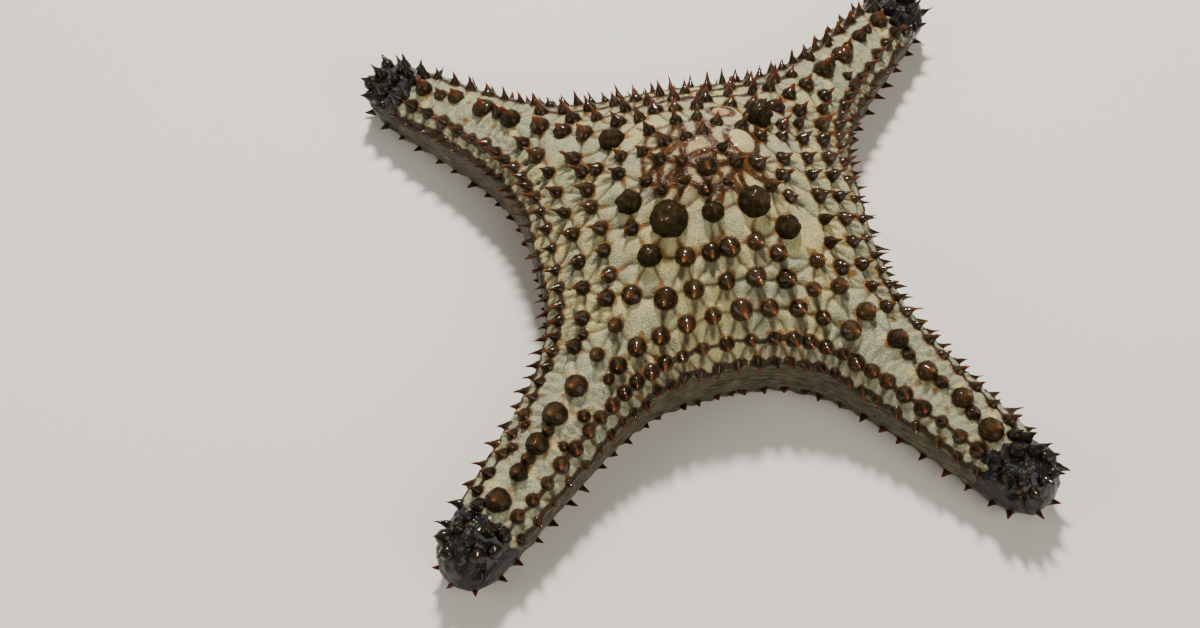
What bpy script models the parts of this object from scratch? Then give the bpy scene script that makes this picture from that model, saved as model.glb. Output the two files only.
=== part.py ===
"""A four-armed cushion sea star, life size, lying flat on its mouth side.

The domed disc carries four blunt arms, each made in a root, a middle and a tip, and rows of pointed
tubercles follow the margins and the arms' ridges. The plan comes from the arms' centre lines and
half widths, and the height of the upper surface is one function of the plan.
In the arms' own coordinates s runs from the disc's centre (0) to an arm's tip (1), and t runs across
the arm, from -1 on its right margin to +1 on its left one.
Units are metres and +Z is up. The star lies on the plane z = 0.
"""

import math

import bmesh
import bpy
import numpy as np
from mathutils import Matrix, Vector

MM = 0.001

# The plan of the star
NOTCH_REACH = 56 * MM
NOTCH_S = 0.28
ARM_PLANS = (
    # name, direction at the root in degrees, reach, sideways bend of the tip, reach of the notch after it
    ("front_left", 240.0, 144 * MM, -5 * MM, 56 * MM),
    ("front_right", 323.0, 141 * MM, -14 * MM, 55 * MM),
    ("back_right", 55.0, 141 * MM, -1 * MM, 58.5 * MM),
    ("back_left", 147.5, 136 * MM, -2.5 * MM, 54.5 * MM),
)
ARM_HALF_WIDTH_AT_CENTRE = 21.5 * MM
ARM_TAPER = 11.5 * MM
FLARE_CUTOFF = 32 * MM
TIP_START = 0.925
TIP_BLUNTNESS = 0.94

# Heights of the upper surface
DISC_HEIGHT = 61 * MM
ARM_RIDGE_HEIGHT = 16 * MM
RIDGE_FALL = 63 * MM
RIDGE_POWER = 1.35
NOTCH_RIM_HEIGHT = 21 * MM
ARM_RIM_HEIGHT = 12 * MM
RIM_FALL = 42 * MM
TIP_RIM_DROP = 3 * MM
SHOULDER_AT_CENTRE = 19 * MM
SHOULDER_TAPER = 11 * MM
DISC_SHOULDER = 13 * MM
DISC_SHOULDER_REACH = 40 * MM
DISC_SHOULDER_FALL = 30 * MM
CARINA_RISE = 1.5 * MM
CARINA_WIDTH = 5 * MM

# The side wall and the underside
WALL_BULGE = 1.2 * MM
WALL_UNDERCUT = 2.5 * MM
BASE_EDGE_HEIGHT = 2 * MM
TIP_LIFT = 2.5 * MM
GROOVE_HALF_WIDTH = 3.4 * MM
GROOVE_DEPTH_AT_MOUTH = 6.5 * MM
GROOVE_DEPTH_AT_TIP = 3.5 * MM
GROOVE_END = 0.93
FLAT_WIDTH = 5 * MM
MOUTH_RADIUS = 7 * MM
MOUTH_DEPTH = 9 * MM
JAW_REACH = 5 * MM
MOUTH_PLATE_THICKNESS = 2 * MM

# Where the star is parted into nodes, and the gap that is left there
CUTS = (0.42, 0.66, 0.86)
PARTS = ("root", "middle", "tip")
GAP = 0.3 * MM

# The rows of tubercles: distance from the margin in plan, spacing, radius, height, sides
MARGIN_ROWS = (
    (0.4 * MM, 8.0 * MM, 1.8 * MM, 4.8 * MM, 4),
    (4.3 * MM, 8.2 * MM, 2.2 * MM, 4.8 * MM, 4),
    (11.5 * MM, 9.8 * MM, 2.5 * MM, 5.0 * MM, 5),
    (19.5 * MM, 10.5 * MM, 2.6 * MM, 5.0 * MM, 5),
    (29.0 * MM, 11.5 * MM, 2.6 * MM, 5.0 * MM, 5),
)
ROW_TOLERANCE = 0.3 * MM
RIDGE_CLEARANCE = 6.0 * MM
CENTRE_CLEARANCE = 17 * MM
CUT_CLEARANCE = 1.5
LOWER_ROW = (9.6 * MM, 1.4 * MM, 4.4 * MM)
LOWER_ROW_DOWN = 0.82
LAST_TUBERCLE_S = 0.985
CARINAL_SPACING = 10.5 * MM
CARINAL_START = 31 * MM
CARINAL_END_S = 0.98
CARINAL_RADIUS = 3.0 * MM
CARINAL_HEIGHT = 5.4 * MM
# Primary tubercles of the disc: direction in degrees, distance from the centre, radius, height
PRIMARIES = (
    (240.5, 22 * MM, 5.6 * MM, 8.0 * MM),
    (318.0, 20 * MM, 4.8 * MM, 7.4 * MM),
    (54.0, 31 * MM, 4.5 * MM, 8.4 * MM),
    (149.0, 33 * MM, 4.1 * MM, 5.0 * MM),
    (206.0, 25.5 * MM, 4.0 * MM, 5.4 * MM),
    (277.5, 18 * MM, 3.4 * MM, 5.4 * MM),
    (3.0, 16.5 * MM, 2.8 * MM, 5.2 * MM),
    (277.0, 5 * MM, 3.4 * MM, 5.4 * MM),
)
ROOT_DEPTH = 2.2 * MM
SHOULDER_HEIGHT = 0.4
SHOULDER_SHARE = 0.68
OUTWARD_LEAN = 0.45
SIDE_LEAN = 0.25

# The tube feet, drawn in, along each groove
FEET_PAIRS = 8
FOOT_RADIUS = 1.0 * MM
FOOT_LENGTH = 3.0 * MM
FOOT_SPLAY = 0.25
FEET_START = 0.1

# The sieve plate
SIEVE_DIRECTION = 76.0
SIEVE_DISTANCE = 28 * MM
SIEVE_RADIUS = 3.2 * MM
SIEVE_SINK = 1.6 * MM
SIEVE_RISE = 0.9 * MM

# Materials: base colour, roughness
SKIN = ((0.36, 0.36, 0.24), 0.45)
TIP_SKIN = ((0.035, 0.032, 0.03), 0.35)
SIEVE_SKIN = ((0.52, 0.42, 0.27), 0.6)
MOUTH_SKIN = ((0.42, 0.3, 0.22), 0.5)

# The mesh: columns across an arm, rows down its side wall, stations along it
TOP_COLUMNS = np.array((-1, -0.94, -0.78, -0.42, 0, 0.42, 0.78, 0.94, 1))
WALL_ROWS = np.array((0.0, 0.35, 0.7, 1.0))
DISC_ROWS = (0, 0.07, 0.14, 0.2, 0.245, 0.268, NOTCH_S, 0.31, 0.345, 0.38)
UNDER_ROWS = (0.11, 0.2, NOTCH_S, 0.31, 0.345, 0.38)
ARM_ROWS = (0.48, 0.54, 0.6, 0.71, 0.76, 0.81, 0.9, 0.94, 0.966, 0.983, 0.994)
OUTLINE_SAMPLES = 240
SHORTEST_EDGE = 0.02 * MM
PLATE_SIDES = 14


def unit(vector):
    return vector / np.linalg.norm(vector, axis=-1, keepdims=True)


def smooth_step(x):
    x = np.clip(x, 0, 1)
    return x * x * (3 - 2 * x)


def direction(degrees):
    return np.array([math.cos(math.radians(degrees)), math.sin(math.radians(degrees))])


class Arm:
    """One arm's plan. Its sides are -1, the clockwise one, and +1."""

    def __init__(self, name, degrees, reach, bend, notch_reach):
        self.name = name
        self.degrees = degrees
        self.reach = reach
        self.bend = bend
        self.notch_reach = notch_reach
        self.along = direction(degrees)
        self.across = np.array([-self.along[1], self.along[0]])
        self.notch = {}
        self.flare = {}

    def centre(self, s):
        s = np.asarray(s, float)[..., None]
        return self.reach * s * self.along + self.bend * s**2 * self.across

    def tangent(self, s):
        s = np.asarray(s, float)[..., None]
        return unit(self.reach * self.along + 2 * self.bend * s * self.across)

    def normal(self, s):
        tangent = self.tangent(s)
        return np.stack([-tangent[..., 1], tangent[..., 0]], -1)

    def station(self, plan):
        """The s of the centre line's nearest point."""
        s = plan @ self.along / self.reach
        miss = np.sum((plan - self.centre(s)) * self.tangent(s), -1)
        return s + miss / self.reach


def make_arms():
    arms = [Arm(*plan) for plan in ARM_PLANS]
    for here, following in zip(arms, arms[1:] + arms[:1]):
        turn = (following.degrees - here.degrees) % 360
        notch = here.notch_reach * direction(here.degrees + turn / 2)
        for arm, side in ((here, 1), (following, -1)):
            arm.notch[side] = notch
            arm.flare[side] = flare_at_notch(arm, side)
    return arms


def taper(s):
    return ARM_HALF_WIDTH_AT_CENTRE - ARM_TAPER * s


def flare_at_notch(arm, side):
    """How the margin leaves the notch: its offsets there, and the rate that sets it square to the bisector."""
    offset = arm.notch[side] - arm.centre(NOTCH_S)
    tangent, normal = arm.tangent(NOTCH_S), side * arm.normal(NOTCH_S)
    reach_along = offset @ tangent
    extra_width = offset @ normal - taper(NOTCH_S)
    step = 1e-4
    bare = arm.centre(NOTCH_S + step) + side * arm.normal(NOTCH_S + step) * taper(NOTCH_S + step)
    bare = (bare - arm.centre(NOTCH_S) - normal * taper(NOTCH_S)) / step
    turned = side * (arm.normal(NOTCH_S + step) - arm.normal(NOTCH_S)) / step * extra_width
    faces = unit(arm.notch[side])
    rate = ((bare + turned) @ faces) / ((normal * extra_width + tangent * reach_along) @ faces)
    return reach_along, extra_width, rate


def margin(arm, s, side):
    """The arm's outline in plan: on the line between two arms as far as the notch, then along the arm."""
    s = np.asarray(s, float)
    reach_along, extra_width, rate = arm.flare[side]
    beyond = np.clip(s - NOTCH_S, 0, 1)
    fade = np.exp(-beyond * rate - (beyond * arm.reach / FLARE_CUTOFF) ** 2)
    end = np.clip((s - TIP_START) / (1 - TIP_START), 0, 1)
    width = (taper(s) + extra_width * fade) * np.sqrt(1 - TIP_BLUNTNESS * end**2)
    outer = arm.centre(s) + side * arm.normal(s) * width[..., None]
    outer = outer + arm.tangent(s) * (reach_along * fade)[..., None]
    inner = arm.notch[side] * (s / NOTCH_S)[..., None]
    return np.where((s <= NOTCH_S)[..., None], inner, outer)


def outward(arm, s, side):
    """The way the margin faces in plan."""
    s = np.maximum(np.asarray(s, float), NOTCH_S)
    step = 1e-3
    tangent = unit(margin(arm, s + step, side) - margin(arm, s, side))
    faces = side * np.stack([-tangent[..., 1], tangent[..., 0]], -1)
    share = np.exp(-(s - NOTCH_S) / 0.02)[..., None]
    return unit(share * unit(arm.notch[side]) + (1 - share) * faces)


class Star:
    """The four arms with the outline that they share."""

    def __init__(self):
        self.arms = make_arms()
        angles = np.linspace(0, 0.5 * np.pi, OUTLINE_SAMPLES)
        s = NOTCH_S + (1 - NOTCH_S) * np.sin(angles)
        runs = []
        for arm in self.arms:
            runs.append(np.concatenate([margin(arm, s, -1), margin(arm, s[::-1], 1)]))
        self.starts = np.concatenate([run[:-1] for run in runs])
        self.runs = np.concatenate([np.diff(run, axis=0) for run in runs])

    def inset(self, plan):
        """Each point's distance from the outline."""
        plan = np.asarray(plan, float)
        offset = plan[..., None, :] - self.starts
        share = np.sum(offset * self.runs, -1) / np.maximum(np.sum(self.runs**2, -1), 1e-18)
        nearest = offset - np.clip(share, 0, 1)[..., None] * self.runs
        return np.sqrt(np.min(np.sum(nearest**2, -1), -1))

    def off_ridge(self, plan):
        """Each point's distance from the nearest arm's centre line."""
        found = []
        for arm in self.arms:
            s = np.clip(arm.station(plan), 0, 1)
            found.append(np.linalg.norm(plan - arm.centre(s), axis=-1))
        return np.min(found, 0)

    def off_cuts(self, plan):
        """A point's distance from the nearest cut of the arm that it is on."""
        arm = max(self.arms, key=lambda arm: plan @ arm.along)
        return min(abs(arm.station(plan) - cut) for cut in CUTS) * arm.reach

    def height(self, plan):
        """The height of the upper surface: a dome and four ridges that fall to the rim at the outline."""
        far = np.linalg.norm(plan, axis=-1)
        crest = ARM_RIDGE_HEIGHT
        crest = crest + (DISC_HEIGHT - ARM_RIDGE_HEIGHT) * np.exp(-((far / RIDGE_FALL) ** RIDGE_POWER))
        bump = CARINA_RISE * smooth_step((far - 0.5 * NOTCH_REACH) / NOTCH_REACH)
        crest = crest + bump * np.exp(-((self.off_ridge(plan) / CARINA_WIDTH) ** 2))
        beyond = np.maximum(far - DISC_SHOULDER_REACH, 0)
        shoulder = SHOULDER_AT_CENTRE - SHOULDER_TAPER * far / self.arms[0].reach
        shoulder = shoulder + DISC_SHOULDER * np.exp(-((beyond / DISC_SHOULDER_FALL) ** 2))
        inward = np.clip(self.inset(plan) / shoulder, 0, 1)
        rounded = np.sqrt(1 - (1 - inward) ** 2)
        return rim_height(far) + (crest - rim_height(far)) * rounded

    def top(self, arm, s, t):
        """The point of the upper surface at s and t."""
        s, t = np.broadcast_arrays(np.asarray(s, float), np.asarray(t, float))
        centre = arm.centre(s)
        left, right = margin(arm, s, 1) - centre, margin(arm, s, -1) - centre
        plan = centre + np.where((t > 0)[..., None], left, right) * np.abs(t)[..., None]
        at_rim = (np.abs(t) == 1) & (s >= NOTCH_S)
        height = np.where(at_rim, rim_height(np.linalg.norm(plan, axis=-1)), self.height(plan))
        return np.concatenate([plan, height[..., None]], -1)

    def normal(self, plan):
        """The upper surface's normal over a point of the plan."""
        step = 0.4 * MM
        aside, ahead = np.array([step, 0]), np.array([0, step])
        slope_x = (self.height(plan + aside) - self.height(plan - aside)) / (2 * step)
        slope_y = (self.height(plan + ahead) - self.height(plan - ahead)) / (2 * step)
        return unit(np.stack([-slope_x, -slope_y, np.ones_like(slope_x)], -1))


def rim_height(far):
    """The height of the side wall's upper edge, as far from the centre as this."""
    beyond = np.maximum(far - NOTCH_REACH, 0)
    height = ARM_RIM_HEIGHT + (NOTCH_RIM_HEIGHT - ARM_RIM_HEIGHT) * np.exp(-beyond / RIM_FALL)
    reach = ARM_PLANS[0][2]
    return height - TIP_RIM_DROP * smooth_step((far / reach - TIP_START) / (1 - TIP_START))


def base_height(s):
    """The height of the side wall's lower edge."""
    return BASE_EDGE_HEIGHT + TIP_LIFT * smooth_step((np.asarray(s, float) - CUTS[2]) / (1 - CUTS[2]))


def wall_point(arm, s, side, down):
    """A point of the side wall. down runs from 0 at its upper edge to 1 at its lower one."""
    s, down = np.broadcast_arrays(np.asarray(s, float), np.asarray(down, float))
    edge = margin(arm, s, side)
    narrow = np.minimum(1, np.linalg.norm(edge - arm.centre(s), axis=-1) / (3 * WALL_UNDERCUT))
    push = (WALL_BULGE * np.sin(np.pi * down) - WALL_UNDERCUT * down) * narrow
    plan = edge + outward(arm, s, side) * push[..., None]
    top = rim_height(np.linalg.norm(edge, axis=-1))
    height = top + (base_height(s) - top) * down
    return np.concatenate([plan, height[..., None]], -1)


def base_edge(arm, s, side):
    """The lower edge of the side wall in plan, and the line between two arms inside the notch."""
    if s < NOTCH_S:
        return margin(arm, s, side) * (1 - WALL_UNDERCUT / np.linalg.norm(arm.notch[side]))
    return wall_point(arm, s, side, 1.0)[:2]


def under_half(arm, s, side):
    """The underside's points at s from the groove's middle to one margin."""
    edge = base_edge(arm, s, side)
    centre = arm.centre(s)
    width = float(np.linalg.norm(edge - centre))
    groove = min(GROOVE_HALF_WIDTH, 0.4 * width)
    flat = groove + min(FLAT_WIDTH, 0.5 * (width - groove))
    depth = GROOVE_DEPTH_AT_MOUTH + (GROOVE_DEPTH_AT_TIP - GROOVE_DEPTH_AT_MOUTH) * s
    depth = depth * float(1 - smooth_step((s - CUTS[2]) / (GROOVE_END - CUTS[2])))
    lift = float(base_height(s)) - BASE_EDGE_HEIGHT
    rise = BASE_EDGE_HEIGHT * min(1, s / NOTCH_S) ** 2
    distances = (0.0, 0.6 * groove, groove, flat, 0.5 * (flat + width), width)
    heights = (depth, 0.8 * depth, 0.0, 0.0, 0.3 * rise, rise)
    return [(*(centre + (edge - centre) * d / width), h + lift) for d, h in zip(distances, heights)]


def under_row(arm, s):
    """The underside's points at s, from the right margin to the left one."""
    return under_half(arm, s, -1)[:0:-1] + under_half(arm, s, 1)


def mouth_row(arm):
    """The rim of the mouth: the groove enters it at the arm, and a jaw narrows it on either side."""
    row = under_row(arm, MOUTH_RADIUS / arm.reach)
    for corner, side in ((0, -1), (-1, 1)):
        row[corner] = (*(unit(arm.notch[side]) * JAW_REACH), 0.0)
        flat_edge = 3 * -side - (side > 0)
        for step in (1, 2):
            share = step / 3
            place = corner - side * step
            row[place] = tuple(np.array(row[corner]) * (1 - share) + np.array(row[flat_edge]) * share)
    return row


class Shell:
    """A closed mesh that is put together from grids of points, whose shared edges are merged."""

    def __init__(self):
        self.mesh = bmesh.new()

    def grid(self, rows):
        made = [[self.mesh.verts.new(point) for point in row] for row in rows]
        for low, high in zip(made, made[1:]):
            for k in range(len(low) - 1):
                self.mesh.faces.new((low[k], low[k + 1], high[k + 1], high[k]))

    def cap(self, points):
        self.mesh.faces.new([self.mesh.verts.new(point) for point in points])

    def finish(self, name, material):
        bmesh.ops.remove_doubles(self.mesh, verts=self.mesh.verts, dist=0.02 * MM)
        bmesh.ops.dissolve_degenerate(self.mesh, edges=self.mesh.edges, dist=0.005 * MM)
        bmesh.ops.recalc_face_normals(self.mesh, faces=self.mesh.faces)
        bmesh.ops.triangulate(self.mesh, faces=self.mesh.faces)
        return mesh_object(self.mesh, name, material)


def mesh_object(mesh, name, material=None):
    data = bpy.data.meshes.new(name)
    mesh.to_mesh(data)
    mesh.free()
    node = bpy.data.objects.new(name, data)
    bpy.context.scene.collection.objects.link(node)
    if material:
        data.materials.append(material)
    return node


def add_length(shell, star, arm, stations):
    """The upper surface and side walls of one stretch of an arm."""
    shell.grid([star.top(arm, s, TOP_COLUMNS) for s in stations])
    for side in (-1, 1):
        shell.grid([wall_point(arm, s, side, WALL_ROWS) for s in stations if s >= NOTCH_S])


def section(star, arm, s):
    """The closed outline of the arm at s, for a cap."""
    top = list(star.top(arm, s, TOP_COLUMNS))
    left = list(wall_point(arm, s, 1, WALL_ROWS))
    right = list(wall_point(arm, s, -1, WALL_ROWS))
    return top + left[1:-1] + under_row(arm, s)[::-1] + right[-2:0:-1]


def arm_length(star, arm, part, material):
    """One closed length of an arm, with half a gap left at each cut."""
    start, end = (*CUTS, 1.0)[part : part + 2]
    inset = GAP / 2 / arm.reach
    first = start + inset
    last = end - inset if end < 1 else 1.0
    stations = [first, *(s for s in ARM_ROWS if first < s < last), last]
    shell = Shell()
    add_length(shell, star, arm, stations)
    shell.grid([under_row(arm, s) for s in stations])
    shell.cap(section(star, arm, first))
    shell.cap(section(star, arm, last))
    return shell.finish(f"arm_{arm.name}_{PARTS[part]}", material)


def disc(star, material):
    """The disc: four sectors out to the first cut, with the mouth opening below."""
    shell = Shell()
    roof = []
    for arm in star.arms:
        last = CUTS[0] - GAP / 2 / arm.reach
        add_length(shell, star, arm, (*DISC_ROWS, last))
        rim = mouth_row(arm)
        shell.grid([rim] + [under_row(arm, s) for s in (*UNDER_ROWS, last)])
        shell.cap(section(star, arm, last))
        ceiling = [(*(unit(np.array(p[:2])) * MOUTH_RADIUS), MOUTH_DEPTH) for p in rim]
        shell.grid([ceiling, rim])
        roof += ceiling[:-1]
    shell.cap(roof)
    return shell.finish("disc", material)


def tubercle(place, points_to, radius, height, sides=5):
    """A swollen base that narrows to a point, with its root sunk along its own axis."""
    profile = ((-ROOT_DEPTH, 1.15), (SHOULDER_HEIGHT * height, SHOULDER_SHARE))
    return turned(place, points_to, radius, profile, height, sides)


def spike(place, points_to, radius, height):
    """A plain four-sided spine with its root sunk along its own axis."""
    share = (height + ROOT_DEPTH) / height
    return turned(place, points_to, radius, ((-ROOT_DEPTH, share),), height, 4)


def turned_rings(mesh, place, turn, radius, profile, sides):
    """Rings of the profile's heights and shares of the radius, joined by faces and closed at the foot."""
    rings = []
    for height, share in profile:
        ring = []
        for k in range(sides):
            angle = 2 * math.pi * (k + 0.5) / sides
            offset = Vector((radius * share * math.cos(angle), radius * share * math.sin(angle), height))
            ring.append(mesh.verts.new(Vector(place) + turn @ offset))
        rings.append(ring)
    for low, high in zip(rings, rings[1:]):
        for k in range(sides):
            mesh.faces.new((low[k], low[(k + 1) % sides], high[(k + 1) % sides], high[k]))
    mesh.faces.new(rings[0][::-1])
    return rings


def turned(place, points_to, radius, profile, tip, sides):
    """A closed pointed piece: the profile's rings, then the tip."""
    mesh = bmesh.new()
    turn = Vector(points_to).to_track_quat("Z", "Y").to_matrix()
    last = turned_rings(mesh, place, turn, radius, profile, sides)[-1]
    point = mesh.verts.new(Vector(place) + turn @ Vector((0, 0, tip)))
    for k in range(sides):
        mesh.faces.new((last[k], last[(k + 1) % sides], point))
    bmesh.ops.recalc_face_normals(mesh, faces=mesh.faces)
    return mesh_object(mesh, "tubercle")


def spread(curve, spacing):
    """Rows of values spread evenly along a curve of (x, y, ...) rows, half a space clear of both its ends."""
    steps = np.linalg.norm(np.diff(curve[:, :2], axis=0), axis=1)
    length = np.concatenate([[0], np.cumsum(steps)])
    count = round(length[-1] / spacing)
    at = (np.arange(count) + 0.5) / max(count, 1) * length[-1]
    return np.stack([np.interp(at, length, curve[:, k]) for k in range(curve.shape[1])], -1)


def stretches(star, part):
    """The margin's stretches on one part of the arms, or on the disc, as runs of (arm, side, first and last s)."""
    arms = star.arms
    if part is None:
        for here, following in zip(arms, arms[1:] + arms[:1]):
            yield None, [(here, 1, 0, CUTS[0]), (following, -1, 0, CUTS[0])]
        return
    start, end = (*CUTS, LAST_TUBERCLE_S)[part : part + 2]
    for arm in arms:
        for side in (-1, 1):
            yield arm, [(arm, side, start, end)]


def run_values(run, place):
    """Rows of (x, y, ...) along a run, from its arm's tip towards the notch on side 1 and back on side -1."""
    arm, side, start, end = run
    s = np.linspace(NOTCH_S, LAST_TUBERCLE_S, 150)
    values = place(arm, s, side)
    station = arm.station(values[:, :2])
    values = values[(station >= start) & (station <= end)]
    return values[::-1] if side == 1 else values


def row_curve(star, runs, inset):
    """The curve that lies this far inside the margin, without the part too near a ridge or the centre."""

    def inside(arm, s, side):
        return margin(arm, s, side) - outward(arm, s, side) * inset

    curve = np.concatenate([run_values(run, inside) for run in runs])
    keep = star.inset(curve) > inset - ROW_TOLERANCE
    keep &= star.off_ridge(curve) > RIDGE_CLEARANCE
    keep &= np.linalg.norm(curve, axis=1) > CENTRE_CLEARANCE
    return curve[keep]


def margin_tubercles(star, runs):
    """The tubercles of the margin's rows on one stretch."""
    made = []
    for inset, spacing, radius, height, sides in MARGIN_ROWS:
        curve = row_curve(star, runs, inset)
        if len(curve) < 4:
            continue
        for plan in spread(curve, spacing):
            if star.off_cuts(plan) > CUT_CLEARANCE * radius and off_marks(plan, radius):
                made.append(on_top(star, plan, radius, height, sides))
    return made


def off_marks(plan, radius):
    """Whether a tubercle of this radius stands clear of the primary ones and of the sieve plate's seat."""
    marks = [(degrees, far, size) for degrees, far, size, _ in PRIMARIES]
    marks.append((SIEVE_DIRECTION, SIEVE_DISTANCE, SIEVE_RADIUS + GAP))
    return all(np.linalg.norm(plan - far * direction(degrees)) > radius + size for degrees, far, size in marks)


def on_top(star, plan, radius, height, sides=5):
    """A tubercle on the upper surface. It leans outwards, more so where the surface is steep."""
    far = np.linalg.norm(plan)
    normal = star.normal(plan)
    out = np.array([*(plan / max(far, MM)), 0.0]) * min(1, far / NOTCH_REACH)
    points_to = unit(normal + OUTWARD_LEAN * out)
    place = np.array([*plan, float(star.height(plan))])
    return tubercle(place, points_to, radius, height, sides)


def lower_spines(runs):
    """The spines of the side wall's lower edge on one stretch. They point outwards and a little up."""
    spacing, radius, height = LOWER_ROW

    def on_wall(arm, s, side):
        return np.concatenate([wall_point(arm, s, side, LOWER_ROW_DOWN), outward(arm, s, side)], 1)

    made = []
    for values in spread(np.concatenate([run_values(run, on_wall) for run in runs]), spacing):
        points_to = unit(np.array([values[3], values[4], SIDE_LEAN]))
        made.append(spike(values[:3], points_to, radius, height))
    return made


def carinal_tubercles(star, arm, start, end):
    """The ridge's row of larger tubercles between two stations."""
    places = spread(arm.centre(np.linspace(start, end, 40)), CARINAL_SPACING)
    clear = [plan for plan in places if off_marks(plan, CARINAL_RADIUS)]
    return [on_top(star, plan, CARINAL_RADIUS, CARINAL_HEIGHT) for plan in clear]


def tube_feet(arm, start, end):
    """Two rows of short pegs in the groove, whose ends stay off the floor."""
    made = []
    count = max(2, round(FEET_PAIRS * (end - start) / (GROOVE_END - FEET_START)))
    for k in range(count):
        s = start + (end - start) * (k + 0.5) / count
        for side in (-1, 1):
            middle, slope = (np.array(point) for point in under_half(arm, s, side)[:2])
            splay = unit(np.array([*(arm.normal(s) * side * FOOT_SPLAY), -1.0]))
            made.append(peg(0.5 * (middle + slope), splay))
    return made


def peg(place, points_to):
    """A four-sided foot that widens to its blunt sucker."""
    profile = ((-ROOT_DEPTH, 0.7), (0.9 * FOOT_LENGTH, 1.0))
    return turned(place, points_to, FOOT_RADIUS, profile, FOOT_LENGTH, 4)


def fuse(node, pieces):
    """Joins the pieces to their node by one union, and keeps the largest closed surface."""
    group = bpy.data.collections.new("pieces")
    bpy.context.scene.collection.children.link(group)
    for piece in pieces:
        group.objects.link(piece)
    union = node.modifiers.new("union", "BOOLEAN")
    union.operation = "UNION"
    union.operand_type = "COLLECTION"
    union.collection = group
    union.solver = "MANIFOLD"
    apply_modifiers(node)
    for piece in pieces:
        bpy.data.objects.remove(piece)
    bpy.data.collections.remove(group)
    keep_largest(node)


def keep_largest(node):
    """Deletes every closed surface of the node but the one with the most faces."""
    mesh = bmesh.new()
    mesh.from_mesh(node.data)
    left = set(mesh.verts)
    shells = []
    while left:
        shell, front = set(), [left.pop()]
        while front:
            vertex = front.pop()
            shell.add(vertex)
            for edge in vertex.link_edges:
                other = edge.other_vert(vertex)
                if other in left:
                    left.remove(other)
                    front.append(other)
        shells.append(shell)
    shells.sort(key=len)
    loose = [vertex for shell in shells[:-1] for vertex in shell]
    bmesh.ops.delete(mesh, geom=loose, context="VERTS")
    bmesh.ops.dissolve_degenerate(mesh, edges=mesh.edges, dist=SHORTEST_EDGE)
    bmesh.ops.triangulate(mesh, faces=mesh.faces)
    mesh.to_mesh(node.data)
    mesh.free()


def apply_modifiers(node):
    """Replaces the node's mesh by its evaluated one."""
    graph = bpy.context.evaluated_depsgraph_get()
    made = bpy.data.meshes.new_from_object(node.evaluated_get(graph), depsgraph=graph)
    node.modifiers.clear()
    node.data = made


def material(name, colour, roughness):
    made = bpy.data.materials.new(name)
    made.use_nodes = True
    shader = made.node_tree.nodes["Principled BSDF"]
    shader.inputs["Base Color"].default_value = (*colour, 1)
    shader.inputs["Roughness"].default_value = roughness
    shader.inputs["Metallic"].default_value = 0.0
    return made


def round_plate(name, centre, axis, radius, thickness, rise, finish):
    """A low domed round plate. centre is the middle of its flat back."""
    profile = ((0.0, 1.0), (thickness, 1.0), (thickness + 0.6 * rise, 0.75), (thickness + 0.9 * rise, 0.4))
    mesh = bmesh.new()
    turn = Vector(axis).to_track_quat("Z", "Y").to_matrix()
    rings = turned_rings(mesh, centre, turn, radius, profile, PLATE_SIDES)
    mesh.faces.new(rings[-1])
    bmesh.ops.recalc_face_normals(mesh, faces=mesh.faces)
    return mesh_object(mesh, name, finish)


def sieve_plate(star, body, finish):
    """The sieve plate, in a shallow seat that is cut for it on the side of the two back arms."""
    plan = SIEVE_DISTANCE * direction(SIEVE_DIRECTION)
    axis = star.normal(plan)
    floor = np.array([*plan, float(star.height(plan))]) - axis * SIEVE_SINK
    cutter = round_plate("sieve_cutter", floor, axis, SIEVE_RADIUS + GAP, 5 * SIEVE_SINK, 0.5 * MM, None)
    cut = body.modifiers.new("sieve_seat", "BOOLEAN")
    cut.operation = "DIFFERENCE"
    cut.object = cutter
    apply_modifiers(body)
    bpy.data.objects.remove(cutter)
    thickness = SIEVE_SINK - GAP
    round_plate("madreporite", floor + axis * GAP, axis, SIEVE_RADIUS, thickness, SIEVE_RISE, finish)


def mouth(finish):
    """The skin over the mouth, under the roof of its opening."""
    plate = MOUTH_RADIUS - 2 * GAP
    round_plate("mouth", (0, 0, MOUTH_DEPTH - GAP), (0, 0, -1), plate, MOUTH_PLATE_THICKNESS, MM, finish)


def settle(nodes):
    """Moves the whole star so that the middle of its box stands over the origin."""
    points = np.array([v.co for node in nodes for v in node.data.vertices])
    middle = 0.5 * (points.min(0) + points.max(0))
    for node in nodes:
        node.data.transform(Matrix.Translation((-middle[0], -middle[1], 0)))


def disc_pieces(star):
    pieces = []
    for _, runs in stretches(star, None):
        pieces += margin_tubercles(star, runs)
        pieces += lower_spines(runs)
    for arm in star.arms:
        pieces += carinal_tubercles(star, arm, CARINAL_START / arm.reach, CUTS[0])
        pieces += tube_feet(arm, FEET_START, CUTS[0])
    for degrees, far, radius, height in PRIMARIES:
        pieces.append(on_top(star, far * direction(degrees), radius, height))
    return pieces


def main():
    for old in list(bpy.data.objects):
        bpy.data.objects.remove(old)
    star = Star()
    skin = material("skin", *SKIN)
    tip_skin = material("tip_skin", *TIP_SKIN)

    body = disc(star, skin)
    sieve_plate(star, body, material("sieve_skin", *SIEVE_SKIN))
    fuse(body, disc_pieces(star))
    mouth(material("mouth_skin", *MOUTH_SKIN))

    for part in range(len(PARTS)):
        finish = tip_skin if PARTS[part] == "tip" else skin
        pieces = {arm.name: [] for arm in star.arms}
        for arm, runs in stretches(star, part):
            pieces[arm.name] += margin_tubercles(star, runs)
            pieces[arm.name] += lower_spines(runs)
        for arm in star.arms:
            start, end = (*CUTS, CARINAL_END_S)[part : part + 2]
            grown = pieces[arm.name] + carinal_tubercles(star, arm, start, end)
            if PARTS[part] != "tip":
                grown += tube_feet(arm, start, end)
            fuse(arm_length(star, arm, part, finish), grown)
    settle(list(bpy.data.objects))


main()
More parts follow.
